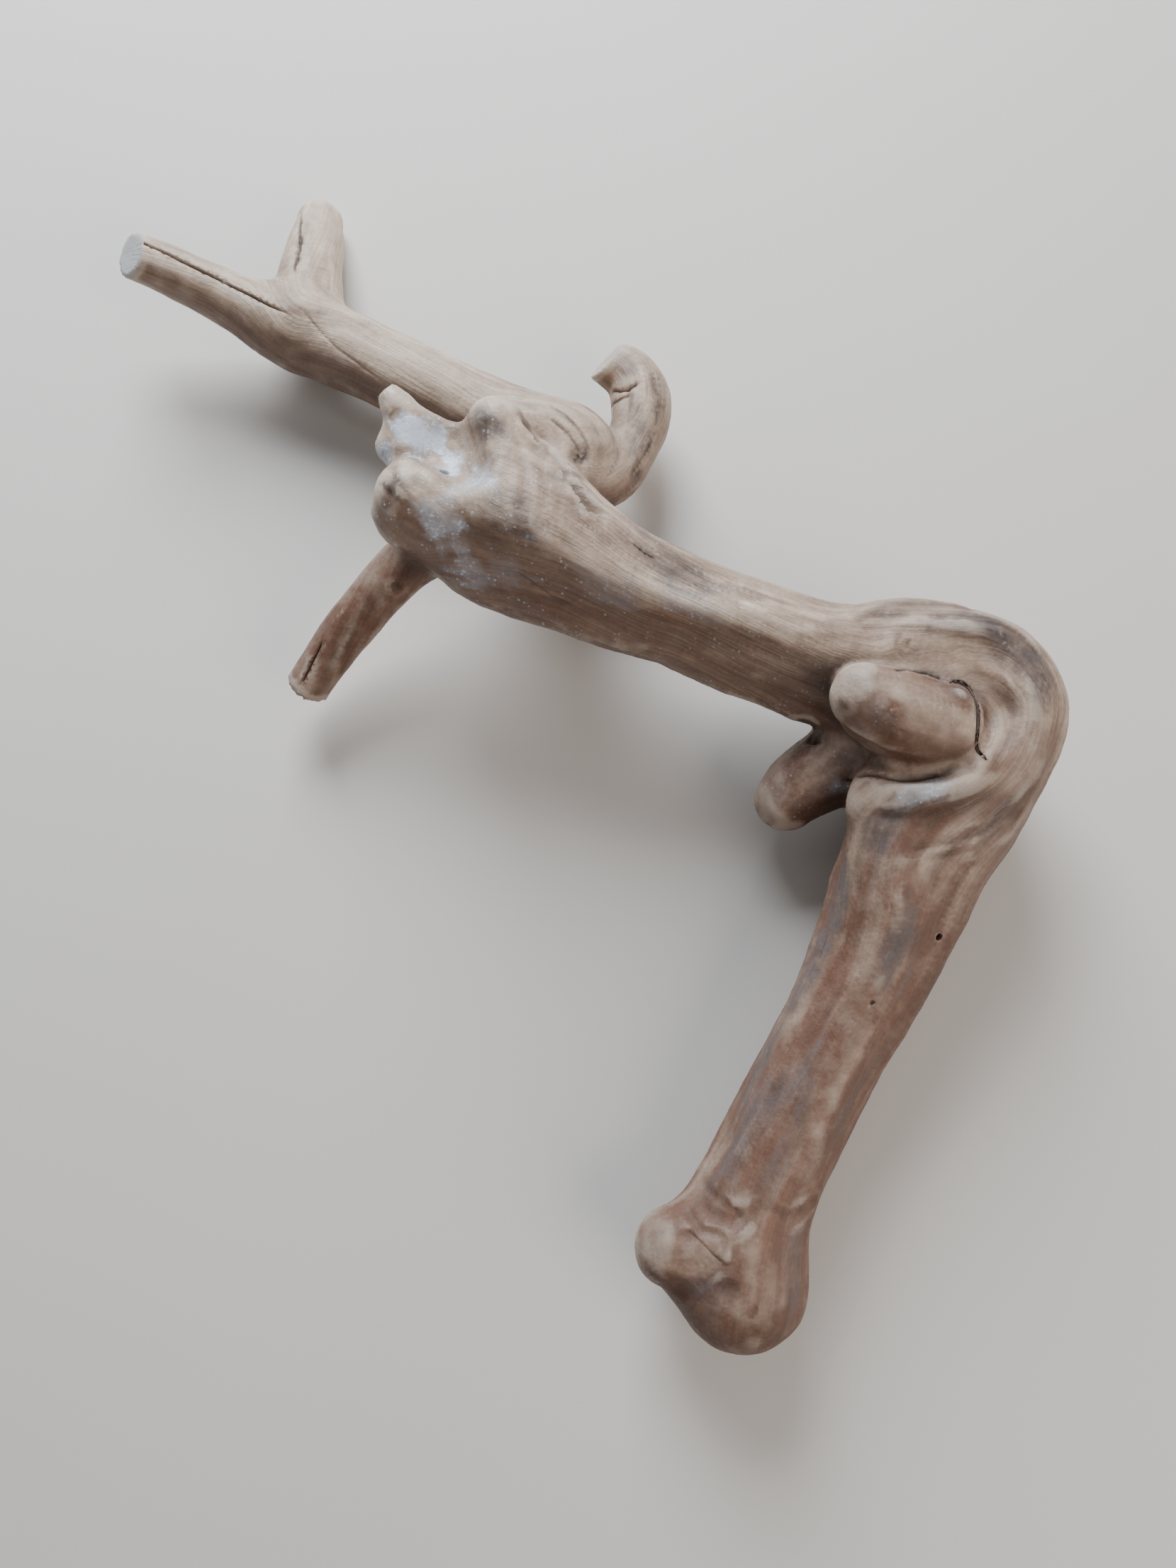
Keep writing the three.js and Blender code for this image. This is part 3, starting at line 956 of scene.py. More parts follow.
def vertex_rows(mesh: bpy.types.Mesh, name: str) -> np.ndarray:
    """Read three numbers of each vertex of a mesh.

    Args:
        mesh: The mesh.
        name: What is read of each vertex.

    Returns:
        One row for each vertex.
    """
    flat = np.empty(len(mesh.vertices) * 3, np.float32)
    mesh.vertices.foreach_get(name, flat)
    return flat.reshape(-1, 3).astype(float)


def mesh_points(mesh: bpy.types.Mesh) -> np.ndarray:
    """Read a mesh's points in the layout frame."""
    return to_layout(vertex_rows(mesh, "co"))


def mesh_normals(mesh: bpy.types.Mesh) -> np.ndarray:
    """Read a mesh's vertex normals."""
    return unit(vertex_rows(mesh, "normal"))


def place_points(mesh: bpy.types.Mesh, points: np.ndarray) -> None:
    """Put a mesh's points at new places of the layout frame."""
    mesh.vertices.foreach_set("co", to_part(points).astype(np.float32).ravel())
    mesh.update()


def mesh_edges(mesh: bpy.types.Mesh) -> np.ndarray:
    """Read a mesh's edges.

    Args:
        mesh: The mesh.

    Returns:
        Pairs of point indices.
    """
    flat = np.empty(len(mesh.edges) * 2, np.int32)
    mesh.edges.foreach_get("vertices", flat)
    return flat.reshape(-1, 2)


def neighbour_mean(edges: np.ndarray, values: np.ndarray) -> np.ndarray:
    """Average each point's neighbours.

    Args:
        edges: Pairs of point indices.
        values: One value, or one row of them, for each point.

    Returns:
        The neighbours' mean at each point.
    """
    count = len(values)
    a, b = edges[:, 0], edges[:, 1]
    degree = np.bincount(a, minlength=count) + np.bincount(b, minlength=count)
    columns = values.reshape(count, -1)
    mean = np.stack(
        [
            np.bincount(a, column[b], count) + np.bincount(b, column[a], count)
            for column in columns.T
        ],
        axis=1,
    )
    return (mean / np.maximum(degree, 1)[:, None]).reshape(values.shape)


def grain_noise(points: np.ndarray, size: float, seed: float, octaves: int = 2) -> np.ndarray:
    """Sample soft noise at points.

    Args:
        points: Points in millimetres.
        size: Size of the noise's patches.
        seed: Offset that makes one noise unlike another.
        octaves: Layers of finer noise.

    Returns:
        Values about zero.
    """
    shift = Vector((seed * 7.3, seed * 3.1, seed * 5.7))
    return np.array(
        [noise.fractal(Vector(p) + shift, 1.0, 2.0, octaves) for p in points / size],
        dtype=float,
    )


def line_distance(
    points: np.ndarray, line: tuple[Pair, ...]
) -> tuple[np.ndarray, np.ndarray, np.ndarray]:
    """Measure points against a line, seen from above.

    Args:
        points: Points in millimetres.
        line: The line's corners.

    Returns:
        Distance to the line, the share of its length at the nearest spot, and 1 on its left
        or -1 on its right.
    """
    corners = np.array(line, float)
    spans = np.linalg.norm(np.diff(corners, axis=0), axis=1)
    total, reached = spans.sum(), 0.0
    best = np.full(len(points), FAR)
    share = np.zeros(len(points))
    side = np.ones(len(points))
    for a, b, span in zip(corners[:-1], corners[1:], spans):
        offset = points[:, :2] - a
        t = np.clip(offset @ (b - a) / span**2, 0.0, 1.0)
        gap = np.linalg.norm(offset - t[:, None] * (b - a), axis=1)
        turn = (b - a)[0] * offset[:, 1] - (b - a)[1] * offset[:, 0]
        closer = gap < best
        best = np.where(closer, gap, best)
        share = np.where(closer, (reached + t * span) / total, share)
        side = np.where(closer, np.where(turn < 0, -1.0, 1.0), side)
        reached += span
    return best, share, side


class FibreFlow:
    """The way the wood's fibres run over the skin."""

    STEP = 4.0
    BLEND = 5.0
    TONE_BLEND = 12.0
    LEAST_WEIGHT = 1e-6
    PROBE = 0.5
    ROUND_REACH = 10.0
    SEAM = 20.0
    ANCHOR = 0.001
    UNROLL_ROUNDS = 400
    LEAST_SIZE = 1e-12
    LEAST_SPAN = 0.2
    PATCH_RAGGED = 0.45
    PATCH_CORE = 0.35
    PATCH_RIM = 1.1

    def __init__(
        self, skeleton: Skeleton, points: np.ndarray, normals: np.ndarray, edges: np.ndarray
    ) -> None:
        """Find the fibre direction at each point of the skin.

        Args:
            skeleton: The root's limbs.
            points: The skin's points.
            normals: Their normals.
            edges: The skin's edges.
        """
        self.points = points
        self.normals = normals
        self.edges = edges
        count = len(points)
        readings = []
        nearest = np.full(count, FAR)
        for shape in skeleton.limbs:
            at = shape.near(points, skeleton.MARGIN)
            reading = shape.read(points[at])
            if shape.limb.name in GROWN_BACK:
                reading.ahead = -reading.ahead
                reading.turned = -reading.turned
            readings.append((shape, at, reading))
            nearest[at] = np.minimum(nearest[at], reading.distance)
        self.flow = np.zeros((count, 3))
        self.tones = np.zeros((count, 4))
        self.around = np.zeros(count)
        self.owner = np.zeros(count, int)
        weights = np.zeros(count)
        first = np.full(count, FAR)
        for index, (shape, at, reading) in enumerate(readings):
            behind = np.maximum(reading.distance - nearest[at], 0.0)
            self.flow[at] += np.exp(-behind / self.BLEND)[:, None] * reading.ahead
            tone = TONES[shape.limb.name]
            soft = np.exp(-behind / self.TONE_BLEND)
            traits = np.array([tone.warmth, tone.grey, tone.wax, tone.grain])
            self.tones[at] += soft[:, None] * traits
            weights[at] += soft
            won = reading.distance < first[at]
            first[at] = np.where(won, reading.distance, first[at])
            self.around[at] = np.where(won, reading.turned * reading.radius, self.around[at])
            self.owner[at] = np.where(won, index, self.owner[at])
        self.tones /= np.maximum(weights, self.LEAST_WEIGHT)[:, None]
        self._flow_round(readings)
        self.flow -= (self.flow * normals).sum(1, keepdims=True) * normals
        self.flow = unit(self.flow)
        self._link()
        self.across, self.sure = self._unroll()

    def _flow_round(self, readings: list[tuple[LimbShape, np.ndarray, Reading]]) -> None:
        """Turn the fibres round the stubs and horns that they grew past.

        Args:
            readings: Each limb, the points near it and their readings.
        """
        for shape, at, reading in readings:
            if shape.limb.name not in FLOWED_ROUND:
                continue
            probes = [self.points[at] + self.PROBE * axis for axis in np.eye(3)]
            rise = [shape.read(probe).distance - reading.distance for probe in probes]
            outward = np.stack(rise, axis=1) / self.PROBE
            ring = unit(np.cross(self.normals[at], outward))
            share = np.exp(-np.maximum(reading.distance, 0.0) / self.ROUND_REACH)
            share *= ease(reading.distance, 0.3, 4.0)
            sign = np.where((self.flow[at] * ring).sum(1) < 0, -1.0, 1.0)
            straight = unit(self.flow[at]) * (1 - share)[:, None]
            self.flow[at] = straight + ring * (share * sign)[:, None]

    def _link(self) -> None:
        """Find the next point along the fibre from each point, both ways."""
        tree = kdtree.KDTree(len(self.points))
        for i, p in enumerate(self.points):
            tree.insert(p, i)
        tree.balance()
        ahead = self.points + self.STEP * self.flow
        behind = self.points - self.STEP * self.flow
        self.ahead = np.array([tree.find(p)[1] for p in ahead])
        self.behind = np.array([tree.find(p)[1] for p in behind])

    def _unroll(self) -> tuple[np.ndarray, np.ndarray]:
        """Lay a measure over the skin that grows across the fibres and is constant along them.

        Returns:
            The measure in millimetres, and how well it fits the fibres, from 0 to 1.
        """
        count = len(self.points)
        a, b = self.edges.T
        aside = np.cross(self.flow, self.normals)
        span = self.points[b] - self.points[a]
        goal = 0.5 * ((aside[a] + aside[b]) * span).sum(1)
        alike = np.maximum((self.flow[a] * self.flow[b]).sum(1), 0.0) ** 2
        start = self.around
        seam = (self.owner[a] == self.owner[b]) & (np.abs(start[a] - start[b]) > self.SEAM)
        weight = np.where(seam, 0.0, alike)

        def gather(flux: np.ndarray) -> np.ndarray:
            """Sum what flows into each point along its edges."""
            return np.bincount(b, flux, count) - np.bincount(a, flux, count)

        scale = np.bincount(a, weight, count) + np.bincount(b, weight, count) + self.ANCHOR
        across = start.copy()
        left = gather(weight * (goal - (across[b] - across[a])))
        ready = left / scale
        way = ready.copy()
        size = left @ ready
        for _ in range(self.UNROLL_ROUNDS):
            pushed = gather(weight * (way[b] - way[a])) + self.ANCHOR * way
            step = size / max(way @ pushed, self.LEAST_SIZE)
            across += step * way
            left -= step * pushed
            ready = left / scale
            new_size = left @ ready
            way = ready + new_size / max(size, self.LEAST_SIZE) * way
            size = new_size
        lengths = np.maximum(np.linalg.norm(span, axis=1), self.LEAST_SPAN)
        miss = np.abs(across[b] - across[a] - goal) / lengths
        degree = np.bincount(a, minlength=count) + np.bincount(b, minlength=count)
        mean = (np.bincount(a, miss, count) + np.bincount(b, miss, count)) / np.maximum(degree, 1)
        sure = 1.0 - ease(mean, 0.3, 0.9)
        for _ in range(2):
            sure = np.minimum(sure, neighbour_mean(self.edges, sure))
        return across, sure

    def streaks(self, values: np.ndarray, length: float) -> np.ndarray:
        """Smear values along the fibres.

        Args:
            values: One value for each point.
            length: How far the streaks run each way, in millimetres.

        Returns:
            Streaks with mean 0 and spread 1.
        """
        total = values.copy()
        for way in (1.0, -1.0):
            at = np.arange(len(values))
            sign = np.full(len(values), way)
            for _ in range(int(length / self.STEP)):
                onward = np.where(sign > 0, self.ahead[at], self.behind[at])
                turn = (self.flow[at] * self.flow[onward]).sum(1)
                sign = np.where(turn < 0, -sign, sign)
                at = onward
                total += values[at]
        return (total - total.mean()) / max(total.std(), TINY)

    def patch(self, patch: Patch, warp: np.ndarray) -> np.ndarray:
        """Measure how much a patch covers each point.

        Args:
            patch: The patch.
            warp: Noise that makes its edge ragged.

        Returns:
            Cover from 0 to 1.
        """
        offset = self.points - np.array(patch.at, float)
        along = (offset * self.flow).sum(1)
        gap2 = (offset * offset).sum(1) - along**2 * (1.0 - 1.0 / patch.stretch**2)
        gap = np.sqrt(np.maximum(gap2, 0.0)) + self.PATCH_RAGGED * patch.radius * warp
        core, rim = self.PATCH_CORE * patch.radius, self.PATCH_RIM * patch.radius
        return patch.strength * (1.0 - ease(gap, core, rim))


class Relief:
    """Heights, and the painted shade in grooves, holes, scar rings and along the torn edge, that
    build up on the skin before its points are moved.
    """

    RIDGE_WIDTH = 5.5
    RIDGE_RUN = 55.0
    RIDGE_HEIGHT = 0.55
    STREAK_HEIGHT = 0.12
    LUMP_HEIGHT = 0.9
    DIMPLE_HEIGHT = 0.25
    WAXED_DIMPLE_HEIGHT = 0.5
    LIP_SHARE = 0.35
    TORN_EDGE_SHADE = 0.6
    RIM_WIDTH = 1.5

    def __init__(self, points: np.ndarray, normals: np.ndarray, flow: FibreFlow) -> None:
        """Raise the fibres, lumps and dimples.

        Args:
            points: The skin's points.
            normals: Their normals.
            flow: The way the fibres run.
        """
        self.points = points
        slow = points / self.RIDGE_RUN
        across = np.column_stack([flow.across / self.RIDGE_WIDTH, slow[:, :2]])
        self.ridges = grain_noise(across, 1.0, 6.0)
        self.fine = flow.streaks(grain_noise(points, 5.0, 1.0), 24.0)
        self.middle = flow.streaks(grain_noise(points, 9.0, 2.0), 28.0)
        self.broad = flow.streaks(grain_noise(points, 20.0, 3.0), 36.0)
        self.lumps = grain_noise(points, 34.0, 4.0)
        self.dimples = grain_noise(points, 11.0, 5.0)
        wax, grain = flow.tones[:, 2], flow.tones[:, 3]
        self.rise = self.RIDGE_HEIGHT * grain * flow.sure * self.ridges
        self.rise += self.STREAK_HEIGHT * self.middle + self.LUMP_HEIGHT * self.lumps
        self.rise += (self.DIMPLE_HEIGHT + self.WAXED_DIMPLE_HEIGHT * wax) * self.dimples
        # Painted shade that lines the grooves, holes, scar rings and torn edge.
        self.dark = np.zeros(len(points))
        self.upward = ease(normals[:, 2], 0.0, 0.15)

    def _paint_shade(self, cover: np.ndarray) -> None:
        """Paint shade on the skin where a groove, hole, scar ring or torn edge covers it."""
        self.dark = np.maximum(self.dark, cover)

    def _gap(self, at: Triple) -> np.ndarray:
        """Measure how far the points are from a place."""
        return np.linalg.norm(self.points - np.array(at, float), axis=1)

    def press_furrows(self) -> None:
        """Press the creases and open the dry checks, with painted shade in them."""
        for furrow in CHECKS + CREASES:
            gap, share, _ = line_distance(self.points, furrow.line)
            fade = ease(share, -0.02, 0.12) * ease(1.0 - share, -0.02, 0.16) * self.upward
            groove = np.exp(-((gap / furrow.width) ** 2)) * fade
            self.rise -= furrow.depth * groove
            self._paint_shade(furrow.dark * groove)

    def tear_ledges(self) -> None:
        """Drop the skin beyond each torn edge, raise a lip along it and paint shade at the foot of
        the drop.
        """
        for ledge in LEDGES:
            gap, share, side = line_distance(self.points, ledge.line)
            fade = ease(share, 0.0, 0.15) * ease(1.0 - share, 0.0, 0.2) * self.upward
            beyond = gap * side + 2.2 * self.dimples + 1.2 * self.ridges
            ending = 1.0 - ease(beyond, 0.3 * ledge.reach, ledge.reach)
            drop = ease(beyond, -0.9, 0.9) * ending * fade
            lip = ease(beyond, -ledge.reach, -1.0) * (1.0 - ease(beyond, -1.0, 0.6)) * fade
            self.rise += self.LIP_SHARE * ledge.drop * lip - ledge.drop * drop
            self._paint_shade(self.TORN_EDGE_SHADE * np.exp(-(((beyond - 0.6) / 1.4) ** 2)) * fade)

    def bore_spots(self) -> None:
        """Bore the worm holes and pits, with painted shade in them, and raise the small bumps."""
        for spot in SPOTS:
            gap = self._gap(spot.at) * (1.0 + 0.25 * self.dimples)
            pit = 1.0 - ease(gap, spot.radius * 0.4, spot.radius * 1.3)
            self.rise -= spot.depth * pit
            self._paint_shade(spot.dark * pit)

    def ring_scars(self) -> None:
        """Press a broken ring round each scar, with painted shade in it."""
        for scar in SCARS:
            gap = self._gap(scar.at) + 1.6 * self.dimples
            rim = np.exp(-(((gap - scar.radius) / self.RIM_WIDTH) ** 2))
            rim *= ease(self.lumps + self.dimples, -0.9, 0.2)
            self.rise -= scar.depth * rim
            self._paint_shade(scar.dark * rim)


class Skin:
    """The root's visible skin, from its rough form to its finest marks."""

    CLOSED_LIMBS = ("overgrown stub", "wrapping strand", "elbow core")
    CLOSED_SHARE = 0.97
    SETTLE_ROUNDS = 2
    SMOOTH_ROUNDS = 3
    REFINE_ROUNDS = 2
    LINE_REACH = 2.4
    SMALL_SPOT = 3.0
    SPOT_REACH = 2.5
    REST_HEIGHT = 0.4
    SAWN_CALM = 0.85
    NEAR_AIR = 6.0
    WIDE_AIR = 16.0
    RECESS_SHADE_SHARE = 0.6

    def __init__(self, skeleton: Skeleton) -> None:
        """Start a skin.

        Args:
            skeleton: The limbs that it covers.
        """
        self.skeleton = skeleton
        self.piece = self._rough_form()
        self._follow_limbs()
        self._open_crack()
        self._refine_marks()

    @property
    def mesh(self) -> bpy.types.Mesh:
        """The skin's mesh."""
        return self.piece.data

    def _rough_form(self) -> bpy.types.Object:
        """Remesh the part evenly, with its crack closed.

        Returns:
            The rough piece.
        """
        form = bmesh.new()
        form.from_mesh(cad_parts[NODE].data)
        for shape in self.skeleton.limbs:
            if shape.limb.name not in self.CLOSED_LIMBS:
                continue
            for point, radius in zip(to_part(shape.points), shape.radii * MM * self.CLOSED_SHARE):
                spot = Matrix.Translation(Vector(point))
                bmesh.ops.create_icosphere(form, subdivisions=3, radius=radius, matrix=spot)
        piece = self._piece("root_rough", form)
        piece.name = "root_skin"
        remesh = piece.modifiers.new("even", "REMESH")
        remesh.mode = "VOXEL"
        remesh.voxel_size = SKIN_STEP * MM
        self._keep_modifiers(piece)
        LOG.info("rough form: %d faces", len(piece.data.polygons))
        return piece

    @staticmethod
    def _piece(name: str, form: bmesh.types.BMesh) -> bpy.types.Object:
        """Turn a form into a piece of the scene.

        Args:
            name: Name of the piece.
            form: Its form, which is freed.

        Returns:
            The piece.
        """
        mesh = bpy.data.meshes.new(name)
        form.to_mesh(mesh)
        form.free()
        piece = bpy.data.objects.new(name, mesh)
        bpy.context.scene.collection.objects.link(piece)
        return piece

    @staticmethod
    def _keep_modifiers(piece: bpy.types.Object) -> None:
        """Make a piece's modifiers its real mesh.

        Args:
            piece: The piece.
        """
        graph = bpy.context.evaluated_depsgraph_get()
        mesh = bpy.data.meshes.new_from_object(piece.evaluated_get(graph))
        piece.modifiers.clear()
        piece.data = mesh

    def _follow_limbs(self) -> None:
        """Draw the rough form onto the smooth surface of the limbs."""
        points = mesh_points(self.mesh)
        edges = mesh_edges(self.mesh)
        points = self.skeleton.settle(points, self.SETTLE_ROUNDS)
        for _ in range(self.SMOOTH_ROUNDS):
            points += 0.5 * (neighbour_mean(edges, points) - points)
        points = self.skeleton.settle(points, self.SETTLE_ROUNDS)
        place_points(self.mesh, points)

    def _open_crack(self) -> None:
        """Cut the crack between the overgrown stub and the wood round it."""
        line = np.array(CRACK_LINE, float)
        stations = np.column_stack([line, np.zeros(len(line)), np.zeros(len(line))])
        path = limb_curve(tuple(map(tuple, stations)))[0][:, :2]
        ahead = unit(np.gradient(path, axis=0))
        aside = np.column_stack([-ahead[:, 1], ahead[:, 0]])
        share = np.linspace(0.0, 1.0, len(path))
        half = CRACK_WIDTH / 2 * (0.25 + 0.75 * np.sqrt(np.sin(np.pi * share)))
        left, right = path + aside * half[:, None], path - aside * half[:, None]
        outline = np.vstack([left, right[::-1]])
        form = bmesh.new()
        low = np.column_stack([outline, np.full(len(outline), CRACK_FLOOR)])
        face = form.faces.new([form.verts.new(p) for p in to_part(low)])
        rows = round(CRACK_DEPTH / CRACK_ROW)
        for _ in range(rows):
            grown = bmesh.ops.extrude_face_region(form, geom=[face])["geom"]
            raised = [v for v in grown if isinstance(v, bmesh.types.BMVert)]
            bmesh.ops.translate(form, verts=raised, vec=(0, 0, CRACK_DEPTH / rows * MM))
            face = next(f for f in grown if isinstance(f, bmesh.types.BMFace))
        bmesh.ops.recalc_face_normals(form, faces=form.faces)
        crack = self._piece("crack", form)
        cut = self.piece.modifiers.new("crack", "BOOLEAN")
        cut.operation = "DIFFERENCE"
        cut.solver = "EXACT"
        cut.object = crack
        self._keep_modifiers(self.piece)
        bpy.data.objects.remove(crack)
        LOG.info("crack opened: %d faces", len(self.mesh.polygons))

    def _refine_marks(self) -> None:
        """Split the skin finely where thin checks and small holes lie."""
        form = bmesh.new()
        form.from_mesh(self.mesh)
        for _ in range(self.REFINE_ROUNDS):
            form.verts.ensure_lookup_table()
            points = to_layout(np.array([v.co for v in form.verts]))
            near = np.zeros(len(points), bool)
            for mark in CHECKS + LEDGES:
                near |= line_distance(points, mark.line)[0] < self.LINE_REACH
            for spot in SPOTS:
                if spot.radius < self.SMALL_SPOT:
                    gap = np.linalg.norm(points - np.array(spot.at, float), axis=1)
                    near |= gap < spot.radius + self.SPOT_REACH
            near &= np.array([v.normal.z for v in form.verts]) > 0.05
            edges = [e for e in form.edges if near[e.verts[0].index] and near[e.verts[1].index]]
            bmesh.ops.subdivide_edges(form, edges=edges, cuts=1, use_grid_fill=True)
        bmesh.ops.triangulate(form, faces=form.faces)
        form.normal_update()
        form.to_mesh(self.mesh)
        form.free()
        self.mesh.update()
        LOG.info("skin: %d triangles", len(self.mesh.polygons))

    def finish(self) -> "Weathering":
        """Raise the relief of fibres, folds, checks and holes on the skin.

        Returns:
            The weathering of the finished skin.
        """
        points = mesh_points(self.mesh)
        normals = mesh_normals(self.mesh)
        edges = mesh_edges(self.mesh)
        to_crack = line_distance(points, CRACK_LINE)[0]
        # The crack's walls are marked to be painted near black, as painted shade, and are kept free
        # of relief.
        crack = ease(-self.skeleton.distance(points), 0.05, 0.8) * (to_crack < CRACK_WIDTH)
        flow = FibreFlow(self.skeleton, points, normals, edges)
        relief = Relief(points, normals, flow)
        relief.press_furrows()
        relief.tear_ledges()
        relief.bore_spots()
        relief.ring_scars()
        sawn, fresh, rings = self._sawn(points, normals)
        brink = ease(to_crack, 0.6 * CRACK_WIDTH, 2.0 * CRACK_WIDTH)
        rise = np.where(points[:, 2] < self.REST_HEIGHT, 0.0, relief.rise)
        rise = rise * np.maximum(brink, 1.0 - relief.upward) * (1.0 - crack)
        rise = rise * (1.0 - self.SAWN_CALM * sawn)
        moved = points + rise[:, None] * normals
        moved[:, 2] = np.maximum(moved[:, 2], 0.0)
        place_points(self.mesh, moved)
        self.mesh.shade_smooth()
        # Painted shade: points with little open air round them, in recesses and between limbs, are
        # marked to be darkened.
        recess_shade = np.zeros(len(points))
        for reach in (self.NEAR_AIR, self.WIDE_AIR):
            air = self.skeleton.distance(points + reach * normals) / reach
            recess_shade += np.clip(1.0 - air, 0.0, 1.0) * self.RECESS_SHADE_SHARE
        bend = ((moved - neighbour_mean(edges, moved)) * normals).sum(1)
        for _ in range(2):
            bend = neighbour_mean(edges, bend)
        return Weathering(flow, relief, recess_shade, bend, crack, fresh, rings)

    @staticmethod
    def _sawn(points: np.ndarray, normals: np.ndarray) -> tuple[np.ndarray, np.ndarray, np.ndarray]:
        """Find the faces that a saw left.

        Args:
            points: The skin's points.
            normals: Their normals.

        Returns:
            A mask of the faces, how fresh they are, and the distance from the pith.
        """
        sawn = np.zeros(len(points))
        fresh = np.zeros(len(points))
        rings = np.full(len(points), SAW_REACH)
        for end in SAWN_ENDS:
            facing = unit(np.array(end.facing))
            offset = points - np.array(end.at, float)
            height = offset @ facing
            aside = np.sqrt(np.maximum((offset * offset).sum(1) - height**2, 0.0))
            face = (1.0 - ease(np.abs(height), 0.3, 1.0)) * (aside < SAW_REACH)
            sawn = np.maximum(sawn, face)
            fresh = np.maximum(fresh, end.fresh * face * ease(normals @ facing, 0.6, 0.9))
            rings = np.where(face > 0, aside, rings)
        return sawn, fresh, rings


@dataclass
class Weathering:
    """What sun, rain and handling did to each point of the skin, and where shade and sheen are
    painted on it.
    """

    flow: FibreFlow
    relief: Relief
    recess_shade: np.ndarray
    bend: np.ndarray
    crack: np.ndarray
    fresh: np.ndarray
    rings: np.ndarray

    def cover(self, stain: Stain) -> np.ndarray:
        """Join all patches of one stain.

        Args:
            stain: The stain.

        Returns:
            Its cover from 0 to 1.
        """
        warp = 0.7 * self.relief.dimples + 0.25 * self.relief.fine
        total = np.zeros(len(warp))
        for patch in PATCHES:
            if patch.stain is stain:
                total = np.maximum(total, self.flow.patch(patch, warp))
        return total

    def write(self, mesh: bpy.types.Mesh) -> None:
        """Store the weathering, with its painted shade and painted sheen, as attributes that the
        wood's finish reads.

        Args:
            mesh: The skin's mesh.
        """
        warmth, grey, wax, grain = self.flow.tones.T
        normals = self.flow.normals
        fine, middle, broad = self.relief.fine, self.relief.middle, self.relief.broad
        lumps, dimples = self.relief.lumps, self.relief.dimples
        pale, rust, ash, rot_and_shade, painted_sheen = (self.cover(stain) for stain in Stain)
        # Painted shade: faces turned away from the key light, down the frame and towards the floor,
        # are marked for the darker under colour.
        under = ease(-normals[:, 1] - 0.35 * normals[:, 2], -0.1, 0.5)
        warm = warmth + 0.1 * middle + 0.07 * broad - 0.5 * pale
        red = 0.5 * ease(middle + 0.6 * lumps, 0.7, 2.4) * (0.2 + 0.8 * warmth) + rust
        ashen = 0.75 * ease(broad + 0.4 * fine + 2.4 * (grey - 0.5), 0.3, 2.2) + ash
        ashen *= 1.0 - 0.8 * pale
        stain = 0.5 * grey * ease(broad - 0.8 * middle + 0.6 * fine, 1.9, 3.4)
        # Dark rot, and painted shade behind the broken crest.
        rot = rot_and_shade * ease(fine + dimples, -1.2, 0.9)
        # Painted shade of recesses, grooves and holes darkens the colour together with the real
        # grey stains and rot.
        shade_and_stains = 0.5 * self.recess_shade + self.relief.dark + stain + rot
        # The waxy gloss also reaches where the sheen is painted.
        waxed = np.clip(np.maximum(0.8 * wax, painted_sheen), 0.0, 1.0)
        self._store(mesh, "tint", warm, red, ashen, shade_and_stains)
        self._store(mesh, "skin", grain, waxed, under, self.crack)
        edge = (0.5 + 3.0 * self.bend) * (1.0 - np.clip(shade_and_stains + self.crack, 0.0, 1.0))
        self._store(mesh, "worn", edge, painted_sheen, self.flow.sure, self.fresh)
        place = np.stack([self.flow.across, self.rings, fine], axis=1)
        layer = mesh.attributes.new("fibre_place", "FLOAT_VECTOR", "POINT")
        layer.data.foreach_set("vector", place.astype(np.float32).ravel())

    @staticmethod
    def _store(mesh: bpy.types.Mesh, name: str, *channels: np.ndarray) -> None:
        """Store four masks in one attribute.

        Args:
            mesh: The skin's mesh.
            name: Name of the attribute.
            channels: The four masks.
        """
        rows = np.clip(np.stack(channels, axis=1), 0.0, 1.0).astype(np.float32)
        layer = mesh.attributes.new(name, "FLOAT_COLOR", "POINT")
        layer.data.foreach_set("color", rows.ravel())


def tint(red: int, green: int, blue: int) -> tuple[float, float, float, float]:
    """Turn a display colour into a linear one.

    Args:
        red: Red, 0 to 255.
        green: Green, 0 to 255.
        blue: Blue, 0 to 255.

    Returns:
        Linear red, green, blue and full alpha.
    """
    shares = [c / 255 for c in (red, green, blue)]
    linear = [s / 12.92 if s <= 0.04045 else ((s + 0.055) / 1.055) ** 2.4 for s in shares]
    return (*linear, 1.0)


@dataclass(frozen=True)
class WoodFinish:
    """Colours and gloss of the dry wood, with colours for its painted shade, painted sheen and
    painted glints.
    """

    pale: tuple = tint(208, 187, 168)
    warm: tuple = tint(121, 89, 73)
    rust: tuple = tint(116, 78, 60)
    ash: tuple = tint(112, 101, 99)
    # Painted shade: the darker warm colour of the faces turned away from the key light.
    under: tuple = tint(90, 56, 38)
    # The colour of the painted shade in recesses, grooves and holes, and of rot, stains, hairline
    # splits and the pith.
    dark: tuple = tint(58, 46, 42)
    # Painted shade: the near black of the crack's walls.
    crack: tuple = tint(14, 14, 17)
    worn: tuple = tint(226, 214, 198)
    # The blue-white colour of the painted sheen and of the painted glints.
    painted_sheen: tuple = tint(220, 232, 246)
    sawn: tuple = tint(190, 188, 188)
    dry_roughness: float = 0.58
    waxed_roughness: float = 0.28
    specular: float = 0.45
    mottle_scale: float = 75.0
    grit_scale: float = 420.0
    glint_scale: float = 360.0
    ring_waves: float = 3.4
    relief_strength: float = 0.6
    relief_depth: float = 0.0012


